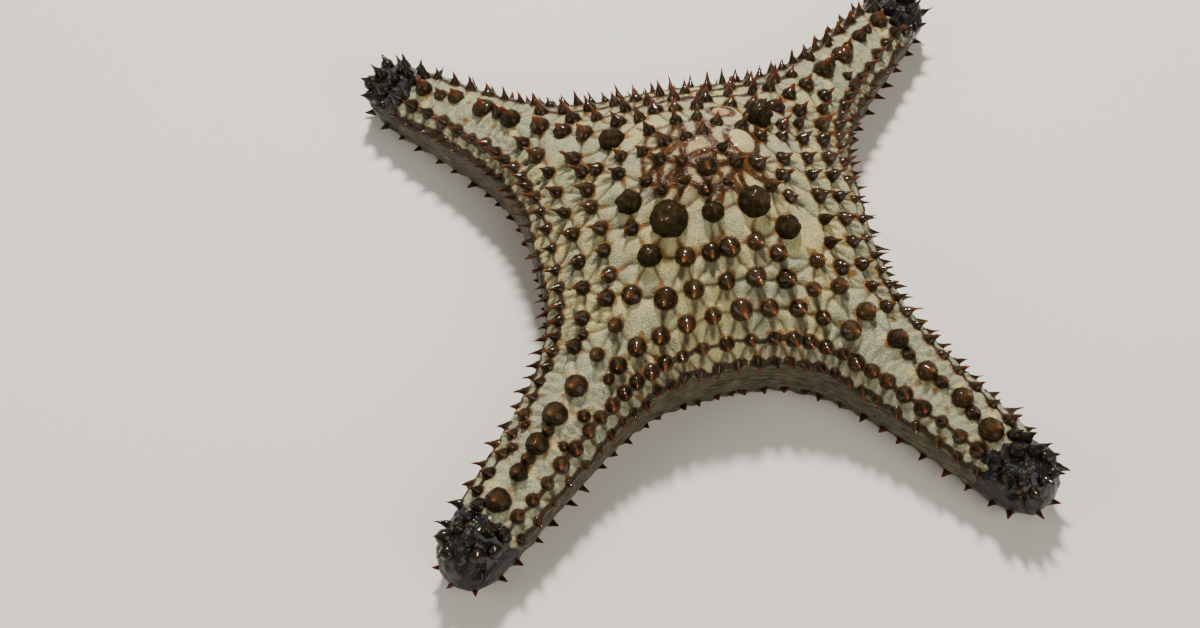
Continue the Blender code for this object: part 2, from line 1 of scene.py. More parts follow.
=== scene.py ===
"""The looks of a life-size cushion sea star that rests on its mouth side.

One skin covers the disc and the four arms. Its relief and colours follow the places of the tubercles,
which stand in rows inside the margins and along the arms' ridges. Everything is worked out in the star's
own plan: s runs along an arm from the disc's centre (0) to the tip (1), and an inset is a distance
inwards from the outline. Units are metres and +Z is up.
"""

import math

import bpy
import numpy as np
from bpy.props import FloatProperty, FloatVectorProperty, IntProperty, PointerProperty
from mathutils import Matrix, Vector
from mathutils.geometry import delaunay_2d_cdt
from mathutils.kdtree import KDTree


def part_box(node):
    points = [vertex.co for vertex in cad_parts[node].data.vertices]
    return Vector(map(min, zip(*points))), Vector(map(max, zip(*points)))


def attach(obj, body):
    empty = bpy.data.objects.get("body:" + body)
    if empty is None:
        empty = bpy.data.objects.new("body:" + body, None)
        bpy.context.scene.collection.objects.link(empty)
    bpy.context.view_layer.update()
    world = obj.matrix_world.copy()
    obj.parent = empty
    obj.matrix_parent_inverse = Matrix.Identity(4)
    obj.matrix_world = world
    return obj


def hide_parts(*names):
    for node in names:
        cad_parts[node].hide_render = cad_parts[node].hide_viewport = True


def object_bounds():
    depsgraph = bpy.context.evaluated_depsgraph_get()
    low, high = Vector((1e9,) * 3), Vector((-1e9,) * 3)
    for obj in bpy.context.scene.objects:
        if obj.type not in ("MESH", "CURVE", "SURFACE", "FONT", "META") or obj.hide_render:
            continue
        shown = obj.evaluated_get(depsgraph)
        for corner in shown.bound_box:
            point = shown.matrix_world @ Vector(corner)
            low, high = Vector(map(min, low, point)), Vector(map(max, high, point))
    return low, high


bl_info = {
    "name": "Cushion Sea Star",
    "version": (1, 0, 0),
    "blender": (4, 5, 0),
    "location": "3D View > Sidebar > Sea Star",
    "description": "Builds the skin, tubercles and spines of a life-size cushion sea star",
    "category": "Add Mesh",
}

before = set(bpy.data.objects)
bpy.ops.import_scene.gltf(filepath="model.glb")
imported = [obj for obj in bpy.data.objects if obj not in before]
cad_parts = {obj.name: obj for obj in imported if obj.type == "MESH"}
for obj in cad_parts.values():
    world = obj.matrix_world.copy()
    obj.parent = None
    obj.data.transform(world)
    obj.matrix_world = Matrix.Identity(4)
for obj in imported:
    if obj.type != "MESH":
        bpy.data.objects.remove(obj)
CAD_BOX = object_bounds()
MM = 0.001


def in_metres(rows):
    """Rows of a direction in degrees and sizes in millimetres, with the sizes in metres."""
    return [(degrees, *(size * MM for size in sizes)) for degrees, *sizes in rows]


# The star's centre in the frame is that of its mouth.
MOUTH_LOW, MOUTH_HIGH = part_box("mouth")
CENTRE = np.array([*(0.5 * (MOUTH_LOW + MOUTH_HIGH))[:2], 0.0])
FLESH_NODES = ["disc"] + [
    f"arm_{side}_{part}"
    for side in ("front_left", "front_right", "back_right", "back_left")
    for part in ("root", "middle", "tip")
]

# The plan of the star, as its solids have it
NOTCH_REACH = 56 * MM
NOTCH_S = 0.28
# Each arm: direction at the root, reach, sideways bend of the tip, reach of the notch after it
ARM_PLANS = in_metres((
    (240.0, 144, -5, 56),
    (323.0, 141, -14, 55),
    (55.0, 141, -1, 58.5),
    (147.5, 136, -2.5, 54.5),
))
ARM_HALF_WIDTH_AT_CENTRE = 21.5 * MM
ARM_TAPER = 11.5 * MM
FLARE_CUTOFF = 32 * MM
TIP_START = 0.925
TIP_BLUNTNESS = 0.94
LAST_S = 0.99
TIP_BULGE = 1.1 * MM

# Heights of the upper surface
DISC_HEIGHT = 61 * MM
ARM_RIDGE_HEIGHT = 16 * MM
RIDGE_FALL = 63 * MM
RIDGE_POWER = 1.35
NOTCH_RIM_HEIGHT = 21 * MM
ARM_RIM_HEIGHT = 12 * MM
RIM_FALL = 42 * MM
TIP_RIM_DROP = 3 * MM
SHOULDER_AT_CENTRE = 19 * MM
SHOULDER_TAPER = 11 * MM
DISC_SHOULDER = 13 * MM
DISC_SHOULDER_REACH = 40 * MM
DISC_SHOULDER_FALL = 30 * MM
CARINA_RISE = 1.5 * MM
CARINA_WIDTH = 5 * MM

# The side wall and the underside
WALL_ROWS = 15
WALL_BULGE = 1.2 * MM
WALL_UNDERCUT = 2.5 * MM
BASE_EDGE_HEIGHT = 2 * MM
TIP_LIFT = 2.5 * MM
LIFT_START = 0.86
GROOVE_HALF_WIDTH = 3.4 * MM
GROOVE_DEPTH_AT_MOUTH = 6.5 * MM
GROOVE_DEPTH_AT_TIP = 3.5 * MM
GROOVE_END = 0.93
FLAT_WIDTH = 5 * MM
MOUTH_RADIUS = 7 * MM
JAW_REACH = 5 * MM
MOUTH_DEPTH = 9 * MM
LOWER_SPINE_DOWN = 0.8
PLATE_SIZE = 4.6 * MM
PLATE_SEED = 51

# The rows of tubercles: inset, spacing at the notch, on the inner and on the outer arm, width, length
ROWS = [[size * MM for size in row] for row in (
    (0.5, 6.2, 4.8, 7.6, 3.5, 4.2),
    (4.6, 8.0, 5.4, 7.2, 4.6, 4.7),
    (11.5, 9.3, 8.8, 9.3, 5.6, 5.2),
    (19.5, 10.0, 10.0, 10.0, 5.9, 5.3),
    (29.0, 10.4, 10.4, 10.4, 5.9, 5.3),
    (38.5, 10.6, 10.6, 10.6, 5.7, 5.2),
)]
# For each notch, front, right, back and left: how large its tubercles are, how far apart they stand,
# and how far the rows keep from the centre
NOTCH_GROWTH = (1.04, 0.8, 0.68, 0.8)
NOTCH_SPREAD = (1.0, 1.0, 0.84, 1.0)
CENTRE_CLEARANCE = (36.5 * MM, 36.5 * MM, 26 * MM, 36.5 * MM)
BACK_NOTCH = 2
# How far each row keeps from the arm's ridge
RIDGE_CLEARANCE = (0.0, 4.8 * MM, 6.0 * MM, 7.5 * MM, 8.0 * MM, 8.5 * MM)
LAST_SITE_S = 0.985
CARINAL_START = 39 * MM
CARINAL_SPACING = 10.3 * MM
PAIRS_FROM_S = 0.5
PAIR_SPACING = 11.6 * MM
PAIR_OFFSET = 5.5 * MM
CLUSTER_FROM_S = 0.855
# The arm's stations between which the rows crowd into chains, and those where they spread again
CROWDING = (0.31, 0.38)
SPREADING = (0.52, 0.68)
# Primary tubercles of the disc: direction in degrees, distance from the centre, width, length
PRIMARIES = in_metres((
    (240.5, 22, 11.4, 7.4),
    (318.0, 20, 9.8, 7.0),
    (54.0, 31, 9.0, 8.4),
    (149.0, 33, 8.4, 5.0),
    (206.0, 25.5, 8.0, 5.2),
    (277.5, 18, 6.6, 5.2),
    (324.0, 31.5, 7.8, 5.4),
    (239.5, 33.5, 7.2, 5.4),
))
# The teardrop-shaped one of these, and where the ridge from it ends
STALK_FROM = 2
STALK_END = (3.0, 16.5 * MM)
# The other tubercles of the disc's middle: direction, distance, width
CENTRAL = in_metres((
    (24.0, 5.6, 3.4), (277.0, 5.0, 5.6), (198.0, 7.0, 4.2), (350.0, 9.6, 4.6), (122.0, 9.9, 4.4),
    (232.0, 10.4, 4.4), (90.0, 10.9, 4.6), (310.0, 11.2, 4.2), (272.0, 11.7, 4.4), (145.0, 14.3, 4.6),
    (3.0, 16.5, 5.2), (197.0, 18.7, 4.8), (161.0, 19.6, 5.2), (112.0, 21.1, 4.6), (358.0, 24.8, 4.8),
    (179.0, 26.3, 4.6), (15.0, 26.6, 4.6), (344.0, 28.2, 5.4), (285.0, 28.4, 5.6), (273.5, 29.1, 5.4),
    (302.0, 29.4, 5.6), (221.0, 29.8, 5.0), (105.0, 30.5, 4.6), (258.5, 30.8, 5.6), (35.0, 31.8, 4.6),
    (193.5, 32.6, 4.8), (170.0, 33.7, 5.2), (209.0, 34.9, 5.0), (73.0, 35.5, 4.4), (86.0, 36.8, 4.4),
))
CENTRAL_LENGTH = 4.7 * MM
# How far from a tubercle's foot a bare place may lie, for bands of distances from the centre: start, end
GAP_BANDS = ((8 * MM, 24 * MM, 4.0 * MM), (24 * MM, 38 * MM, 3.8 * MM), (38 * MM, 82 * MM, 4.3 * MM))
GAP_INSET = 11 * MM
KEPT_FREE_RADIUS = 4 * MM
FILLER_RADIUS = 2.5 * MM
# Places without tubercles: direction, distance, radius
CREAM_PAD = (38.0, 15.4 * MM, 4.2 * MM)
SIEVE = (76.0, 28 * MM, 3.4 * MM)

# The skin between the tubercles
LONGEST_SEAM = 14.5 * MM
SEAM_SWAY = 0.7 * MM
SEAM_WIDTH = 0.85 * MM
FURROW_WIDTH = 2.7 * MM
FAINT_SEAMS = 0.18
PLEAT = 2.9 * MM
PLEAT_RISE = 0.5 * MM
CENTRE_REACH = 21 * MM
STRAY_SPOTS = 7
# The angles of the spokes of a round piece
SPOKES = np.linspace(0, 2 * math.pi, 96, endpoint=False)
# How many points are measured at a time
PART = 4000

# How a tubercle is laid out on the map for baking: the side of the square, and each one's radius on the map
BAKE_SPAN = 0.29
BAKE_RADIUS = 0.006

# The floor, and the camera from the star's centre on it
FLOOR_HALF = 6.0
CAMERA_PLACE = (-0.0325, -0.3569, 0.4826)
CAMERA_TILT = 35.0
CAMERA_LENS = 53.1


def length_of(name, description, default):
    return FloatProperty(name=name, description=description, default=default, unit="LENGTH")


class BodySettings(bpy.types.PropertyGroup):
    """The fineness and the relief of the skin."""

    mesh_size: length_of("Mesh size", "Distance between the points of the upper skin", 0.8 * MM)
    under_size: length_of("Underside mesh size", "Distance between the points of the underside", 1.5 * MM)
    pad_rise: length_of("Pad rise", "Height of the puffy pads above the seams that part them", 1.9 * MM)
    lip_rise: length_of("Lip rise", "How far a pad stands over the next one down the slope", 0.4 * MM)
    crease_depth: length_of("Crease depth", "Depth of the crease that runs down from each tubercle", 0.8 * MM)
    chain_rise: length_of("Chain rise", "Height of the dark ridges that link the outer tubercles", 0.6 * MM)
    seed: IntProperty(name="Seed", description="Fixes all that varies at random", default=7, min=0)


class TubercleSettings(bpy.types.PropertyGroup):
    """Sizes of the tubercles, spines, granules and feet."""

    jitter: length_of("Jitter", "How far a tubercle may stand from its even place in the row", 0.7 * MM)
    size_spread: FloatProperty(
        name="Size spread",
        description="How much tubercles of one row vary in size",
        default=0.13,
        subtype="FACTOR",
    )
    lower_spacing: length_of("Lower spine spacing", "Distance between the outer arms' lower spines", 8.2 * MM)
    granule_spacing: length_of("Granule spacing", "Distance between the granules of the underside", 2.3 * MM)
    comb_spacing: length_of("Groove spine spacing", "Distance between the spines of each groove", 1.75 * MM)
    foot_spacing: length_of("Tube foot spacing", "Distance between the tube feet of one row", 3.4 * MM)


def colour_of(name, description, default):
    return FloatVectorProperty(
        name=name, description=description, default=default, subtype="COLOR", size=3, min=0.0, max=1.0
    )


class ColourSettings(bpy.types.PropertyGroup):
    """The colours of the star and of the floor."""

    pad_warm: colour_of("Warm pads", "The pads where they are yellowest", (0.51, 0.44, 0.185))
    pad_cool: colour_of("Cool pads", "The pads where they are greyest", (0.285, 0.305, 0.205))
    pad_speck: colour_of("Pad specks", "The pale grains of the pads", (0.69, 0.61, 0.29))
    seam: colour_of("Seams", "The seams between the pads", (0.09, 0.076, 0.042))
    # Painted shadow: this dark colour below each tubercle stands partly for a shallow groove and partly for
    # the shadow the tubercle casts down the slope
    crease: colour_of("Creases", "The creases below the tubercles", (0.07, 0.07, 0.042))
    halo: colour_of("Halos", "The rims of the pads beside a tubercle", (0.175, 0.075, 0.011))
    spot: colour_of("Pale spots", "The pale spots beside the ridge's tubercles", (0.62, 0.52, 0.25))
    cream: colour_of("Cream", "The pale skin between the disc's wet network", (0.58, 0.46, 0.22))
    freckle: colour_of("Freckles", "The brown freckles of the pale skin", (0.34, 0.23, 0.09))
    chain: colour_of("Chains", "The ridges that link the outer tubercles", (0.026, 0.0105, 0.003))
    centre: colour_of("Centre", "The dark parts of the wet network on the disc", (0.04, 0.0125, 0.0022))
    centre_light: colour_of("Centre light", "The light parts of the wet network", (0.105, 0.034, 0.0055))
    wall: colour_of("Side wall", "The wrinkled band along the side", (0.11, 0.098, 0.062))
    # Painted shade and light: the side band's streaks are painted darker in their furrows and lighter on
    # their ridges, where the bump raises them
    wall_dark: colour_of("Side wall dark", "The dark wrinkles of that band", (0.03, 0.024, 0.014))
    wall_light: colour_of("Side wall light", "The light wrinkles of that band", (0.24, 0.2, 0.12))
    tip: colour_of("Arm tips", "The dark ends of the arms", (0.004, 0.004, 0.0035))
    tip_sheen: colour_of("Arm tip grey", "The grey patches of the arm ends", (0.013, 0.0115, 0.009))
    under: colour_of("Underside", "The plates of the underside", (0.43, 0.37, 0.27))
    under_shade: colour_of("Underside shade", "The darker patches of the plates", (0.31, 0.27, 0.2))
    under_furrow: colour_of("Underside furrows", "The furrows between the plates", (0.16, 0.125, 0.085))
    under_grain: colour_of("Underside grains", "The fine grains of the plates", (0.2, 0.16, 0.11))
    knob: colour_of("Tubercles", "The body of a tubercle", (0.007, 0.0032, 0.0009))
    knob_light: colour_of("Lighter tubercles", "The brown patches of a tubercle", (0.038, 0.017, 0.0042))
    old_knob: colour_of("Large tubercles", "The body of a large tubercle", (0.0065, 0.0045, 0.0015))
    old_knob_light: colour_of("Lighter large tubercles", "Its olive patches", (0.027, 0.0185, 0.005))
    knob_nose: colour_of("Tubercle noses", "The blunt point of a large tubercle", (0.07, 0.026, 0.0075))
    knob_tip: colour_of("Tubercle tips", "The sharp point of a marginal tubercle", (0.11, 0.016, 0.006))
    # Painted highlight: the pale tan on the very end of each point
    horn: colour_of("Horn", "The very end of a tubercle's point", (0.42, 0.18, 0.06))
    floor: colour_of("Floor", "The studio floor", (0.78, 0.75, 0.7))


def body_settings():
    return bpy.context.scene.sea_star_body


def tubercle_settings():
    return bpy.context.scene.sea_star_tubercles


def colours():
    return bpy.context.scene.sea_star_colours


def random_of(number):
    """The random numbers of one part of the star."""
    return np.random.default_rng(body_settings().seed + number)


def norm(vectors):
    return np.linalg.norm(vectors, axis=-1)


def unit(vector):
    return vector / np.maximum(np.linalg.norm(vector, axis=-1, keepdims=True), 1e-12)


def smooth_step(x):
    x = np.clip(x, 0, 1)
    return x * x * (3 - 2 * x)


def ramp(x, start, width):
    """0 up to the start, and a smooth rise to 1 over this width."""
    return smooth_step((x - start) / width)


def bell(x, width):
    """1 at 0, falling evenly to both sides."""
    return np.exp(-((x / width) ** 2))


def past(away, radius):
    """How far each point lies outside a radius."""
    return np.maximum(away - radius, 0)


def behind(y, start):
    """0 in front of this line across the disc, rising to 1 behind it."""
    return ramp(y, start, 25 * MM)


def direction(degrees):
    return np.array([math.cos(math.radians(degrees)), math.sin(math.radians(degrees))])


def plan_of(spot):
    """The plan of a spot that is given by its direction and its distance from the centre."""
    return spot[1] * direction(spot[0])


def left_of(way):
    """Each way in plan, turned a quarter to the left."""
    return np.stack([-way[..., 1], way[..., 0]], -1)


def value_noise(points, size, seed):
    """Smooth noise from -1 to 1 over points of two or three coordinates, with lumps of this size."""
    cell = np.floor(points / size)
    share = smooth_step(points / size - cell)
    cell = cell.astype(np.int64)
    total = np.zeros(len(points))
    dimensions = points.shape[1]
    primes = np.array((73856093, 19349663, 83492791))[:dimensions]
    for corner in range(2**dimensions):
        step = np.array([(corner >> k) & 1 for k in range(dimensions)])
        mixed = ((cell + step) * primes).sum(-1) + seed * 2654435761
        mixed = (mixed ^ (mixed >> 13)) * 1274126177 & 0xFFFFFFFF
        mixed = (mixed ^ (mixed >> 16)) * 2246822519 & 0xFFFFFFFF
        weight = np.prod(np.where(step, share, 1 - share), -1)
        total += weight * ((mixed & 0xFFFF) / 0x7FFF - 1)
    return total


class Arm:
    """One arm's plan. Its sides are -1, the clockwise one, and +1."""

    def __init__(self, degrees, reach, bend, notch_reach):
        self.degrees = degrees
        self.reach = reach
        self.bend = bend
        self.notch_reach = notch_reach
        self.along = direction(degrees)
        self.across = left_of(self.along)
        self.notch = {}
        self.flare = {}

    def centre(self, s):
        s = np.asarray(s, float)[..., None]
        return self.reach * s * self.along + self.bend * s**2 * self.across

    def tangent(self, s):
        s = np.asarray(s, float)[..., None]
        return unit(self.reach * self.along + 2 * self.bend * s * self.across)

    def normal(self, s):
        return left_of(self.tangent(s))

    def station(self, plan):
        """The s of the centre line's nearest point."""
        s = plan @ self.along / self.reach
        miss = np.sum((plan - self.centre(s)) * self.tangent(s), -1)
        return s + miss / self.reach


def make_arms():
    arms = [Arm(*plan) for plan in ARM_PLANS]
    for here, following in zip(arms, arms[1:] + arms[:1]):
        turn = (following.degrees - here.degrees) % 360
        notch = here.notch_reach * direction(here.degrees + turn / 2)
        for arm, side in ((here, 1), (following, -1)):
            arm.notch[side] = notch
            arm.flare[side] = flare_at_notch(arm, side)
    return arms


def taper(s):
    return ARM_HALF_WIDTH_AT_CENTRE - ARM_TAPER * s


def flare_at_notch(arm, side):
    """How the margin leaves the notch: its offsets, and the rate that sets it square to the bisector."""
    offset = arm.notch[side] - arm.centre(NOTCH_S)
    tangent, normal = arm.tangent(NOTCH_S), side * arm.normal(NOTCH_S)
    reach_along = offset @ tangent
    extra_width = offset @ normal - taper(NOTCH_S)
    step = 1e-4
    bare = arm.centre(NOTCH_S + step) + side * arm.normal(NOTCH_S + step) * taper(NOTCH_S + step)
    bare = (bare - arm.centre(NOTCH_S) - normal * taper(NOTCH_S)) / step
    turned = side * (arm.normal(NOTCH_S + step) - arm.normal(NOTCH_S)) / step * extra_width
    faces = unit(arm.notch[side])
    rate = ((bare + turned) @ faces) / ((normal * extra_width + tangent * reach_along) @ faces)
    return reach_along, extra_width, rate


def margin(arm, s, side):
    """The arm's outline in plan, from the notch at NOTCH_S to the tip."""
    s = np.asarray(s, float)
    reach_along, extra_width, rate = arm.flare[side]
    beyond = np.clip(s - NOTCH_S, 0, 1)
    fade = np.exp(-beyond * rate - (beyond * arm.reach / FLARE_CUTOFF) ** 2)
    end = np.clip((s - TIP_START) / (1 - TIP_START), 0, 1)
    width = (taper(s) + extra_width * fade) * np.sqrt(1 - TIP_BLUNTNESS * end**2)
    outer = arm.centre(s) + side * arm.normal(s) * width[..., None]
    return outer + arm.tangent(s) * (reach_along * fade)[..., None]


def outward(arm, s, side):
    """The way the margin faces in plan."""
    s = np.maximum(np.asarray(s, float), NOTCH_S)
    faces = side * left_of(unit(margin(arm, s + 1e-3, side) - margin(arm, s, side)))
    share = np.exp(-(s - NOTCH_S) / 0.02)[..., None]
    return unit(share * unit(arm.notch[side]) + (1 - share) * faces)


def rim_height(far):
    """The height of the side wall's upper edge, as far from the centre as this."""
    beyond = np.maximum(far - NOTCH_REACH, 0)
    height = ARM_RIM_HEIGHT + (NOTCH_RIM_HEIGHT - ARM_RIM_HEIGHT) * np.exp(-beyond / RIM_FALL)
    reach = ARM_PLANS[0][1]
    return height - TIP_RIM_DROP * ramp(far / reach, TIP_START, 1 - TIP_START)


def base_height(s):
    """The height of the side wall's lower edge."""
    return BASE_EDGE_HEIGHT + TIP_LIFT * ramp(np.asarray(s, float), LIFT_START, 1 - LIFT_START)


def length_along(curve):
    """Each point's distance from the first one along a curve."""
    return np.concatenate([[0], np.cumsum(norm(np.diff(curve, axis=0)))])


def measured(plan, measure):
    """What measure gives for the points, some of them at a time."""
    return np.concatenate([measure(plan[first : first + PART]) for first in range(0, len(plan), PART)])


class Outline:
    """The star's outline as one ring of evenly spaced points, counter-clockwise."""

    def __init__(self, arms, spacing):
        found = [self.run(arm, side, spacing) for arm in arms for side in (-1, 1)]
        self.plan, self.out, self.s = (np.concatenate(values) for values in zip(*found))
        self.runs = np.roll(self.plan, -1, 0) - self.plan
        self.length = length_along(self.plan)

    def run(self, arm, side, spacing):
        """Half an arm's outline: side -1 runs to the tip, round it and half way over, side +1 the rest."""
        s = NOTCH_S + (LAST_S - NOTCH_S) * np.sin(np.linspace(0, 0.5 * np.pi, 400))
        edge = margin(arm, s, side)
        out = outward(arm, s, side)
        half_width = np.abs((edge[-1] - arm.centre(LAST_S)) @ arm.normal(LAST_S))
        x = np.linspace(1, 0, 20)[1:, None]
        cap = arm.centre(LAST_S) + side * arm.normal(LAST_S) * half_width * x
        cap = cap + arm.tangent(LAST_S) * TIP_BULGE * (1 - x**2)
        cap_out = unit(x * out[-1] + (1 - x) * arm.tangent(LAST_S))
        plan = np.concatenate([edge, cap])
        out = np.concatenate([out, cap_out])
        s = np.concatenate([s, np.full(len(x), 1.0)])
        length = length_along(plan)
        count = round(length[-1] / spacing)
        at = np.arange(count) / count * length[-1]
        if side == 1:
            at = length[-1] - at
        values = np.column_stack([plan, out, s])
        found = np.stack([np.interp(at, length, column) for column in values.T], -1)
        return found[:, :2], unit(found[:, 2:4]), found[:, 4]


class Star:
    """The plan and the heights of the whole star."""

    def __init__(self, spacing):
        self.arms = make_arms()
        self.outline = Outline(self.arms, spacing)

    def inset(self, plan):
        """Each point's distance from the outline."""
        starts, runs = self.outline.plan, self.outline.runs
        square = np.maximum(np.sum(runs**2, -1), 1e-18)

        def away(part):
            offset_x = part[:, 0, None] - starts[:, 0]
            offset_y = part[:, 1, None] - starts[:, 1]
            share = np.clip((offset_x * runs[:, 0] + offset_y * runs[:, 1]) / square, 0, 1)
            square_away = (offset_x - share * runs[:, 0]) ** 2 + (offset_y - share * runs[:, 1]) ** 2
            return np.sqrt(square_away.min(-1))

        return measured(plan, away)

    def ridge(self, plan):
        """Each point's distance from the nearest arm's centre line, its s there and the arm's number."""
        stations = np.array([np.clip(arm.station(plan), 0, 1) for arm in self.arms])
        pairs = zip(self.arms, stations)
        away = np.array([norm(plan - arm.centre(s)) for arm, s in pairs])
        nearest = np.argmin(away, 0)
        rows = np.arange(len(plan))
        return away[nearest, rows], stations[nearest, rows], nearest

    def height(self, plan):
        """The height of the upper surface: a dome and four ridges that fall to the rim at the outline."""
        far = norm(plan)
        crest = ARM_RIDGE_HEIGHT
        crest = crest + (DISC_HEIGHT - ARM_RIDGE_HEIGHT) * np.exp(-((far / RIDGE_FALL) ** RIDGE_POWER))
        bump = CARINA_RISE * ramp(far, 0.5 * NOTCH_REACH, NOTCH_REACH)
        crest = crest + bump * bell(self.ridge(plan)[0], CARINA_WIDTH)
        shoulder = SHOULDER_AT_CENTRE - SHOULDER_TAPER * far / self.arms[0].reach
        shoulder = shoulder + DISC_SHOULDER * bell(past(far, DISC_SHOULDER_REACH), DISC_SHOULDER_FALL)
        inward = np.clip(self.inset(plan) / shoulder, 0, 1)
        rounded = np.sqrt(1 - (1 - inward) ** 2)
        return rim_height(far) + (crest - rim_height(far)) * rounded

    def normal(self, plan):
        """The upper surface's normal over each point of the plan."""
        step = 0.4 * MM
        ways = step * np.eye(2)
        slopes = [(self.height(plan + way) - self.height(plan - way)) / (2 * step) for way in ways]
        return unit(np.stack([-slopes[0], -slopes[1], np.ones(len(plan))], -1))

    def on_top(self, plan):
        return np.column_stack([plan, self.height(plan)])

    def under_height(self, plan, base_inset):
        """The height of the underside, with the groove of each arm and the mouth's opening."""
        away, s, _ = self.ridge(plan)
        depth = GROOVE_DEPTH_AT_MOUTH + (GROOVE_DEPTH_AT_TIP - GROOVE_DEPTH_AT_MOUTH) * s
        depth = depth * (1 - ramp(s, LIFT_START, GROOVE_END - LIFT_START))
        groove = depth * (1 - ramp(away / GROOVE_HALF_WIDTH, 0.45, 0.55))
        edge = GROOVE_HALF_WIDTH + FLAT_WIDTH
        aside = np.clip((away - edge) / np.maximum(away - edge + base_inset, 1e-6), 0, 1)
        rise = BASE_EDGE_HEIGHT * np.minimum(1, s / NOTCH_S) ** 2 * smooth_step(aside)
        far = norm(plan)
        opening = ramp(away, 0.3 * GROOVE_HALF_WIDTH, 2 * MM)
        opening = MOUTH_RADIUS - (MOUTH_RADIUS - JAW_REACH) * opening
        mouth = MOUTH_DEPTH * (1 - smooth_step((far - opening + 1.2 * MM) / (1.2 * MM)))
        return np.maximum(groove + rise, mouth) + base_height(s) - BASE_EDGE_HEIGHT


def wall_points(star, down):
    """The ring's points this far down the side wall, from 0 at its upper edge to 1 at its lower one."""
    ring = star.outline
    push = (WALL_BULGE * math.sin(math.pi * down) - WALL_UNDERCUT * down) * np.ones(len(ring.s))
    plan = ring.plan + ring.out * push[:, None]
    top = rim_height(norm(ring.plan))
    return np.column_stack([plan, top + (base_height(ring.s) - top) * down])


def teeth_of(ring):
    """A number for each of the ring's points that grows by 1 from one lower spine to the next."""
    wide = tubercle_settings().lower_spacing
    spacing = spacing_at(ring.s, (0.62 * wide, 0.8 * wide, wide))
    number = np.cumsum(norm(ring.runs) / spacing)
    return (number - number[0]) * round(number[-1]) / number[-1]


def spacing_at(s, spacings):
    """The spacing at each station, from those at the notch, on the inner and on the outer arm."""
    notch, inner, outer = spacings
    crowded, loose = (ramp(s, first, last - first) for first, last in (CROWDING, SPREADING))
    return notch + (inner - notch) * crowded + (outer - inner) * loose


def spread(curve, spacing, parity=None):
    """Points this far apart along a curve, half a space clear of both ends."""
    steps = norm(np.diff(curve, axis=0))
    spacing = np.broadcast_to(spacing, len(curve))
    spaces = np.concatenate([[0], np.cumsum(2 * steps / (spacing[1:] + spacing[:-1]))])
    count = max(1, round(spaces[-1]))
    if parity is not None and count % 2 != parity:
        count += 1
    at = (np.arange(count) + 0.5) / count * spaces[-1]
    return np.stack([np.interp(at, spaces, curve[:, k]) for k in (0, 1)], -1)


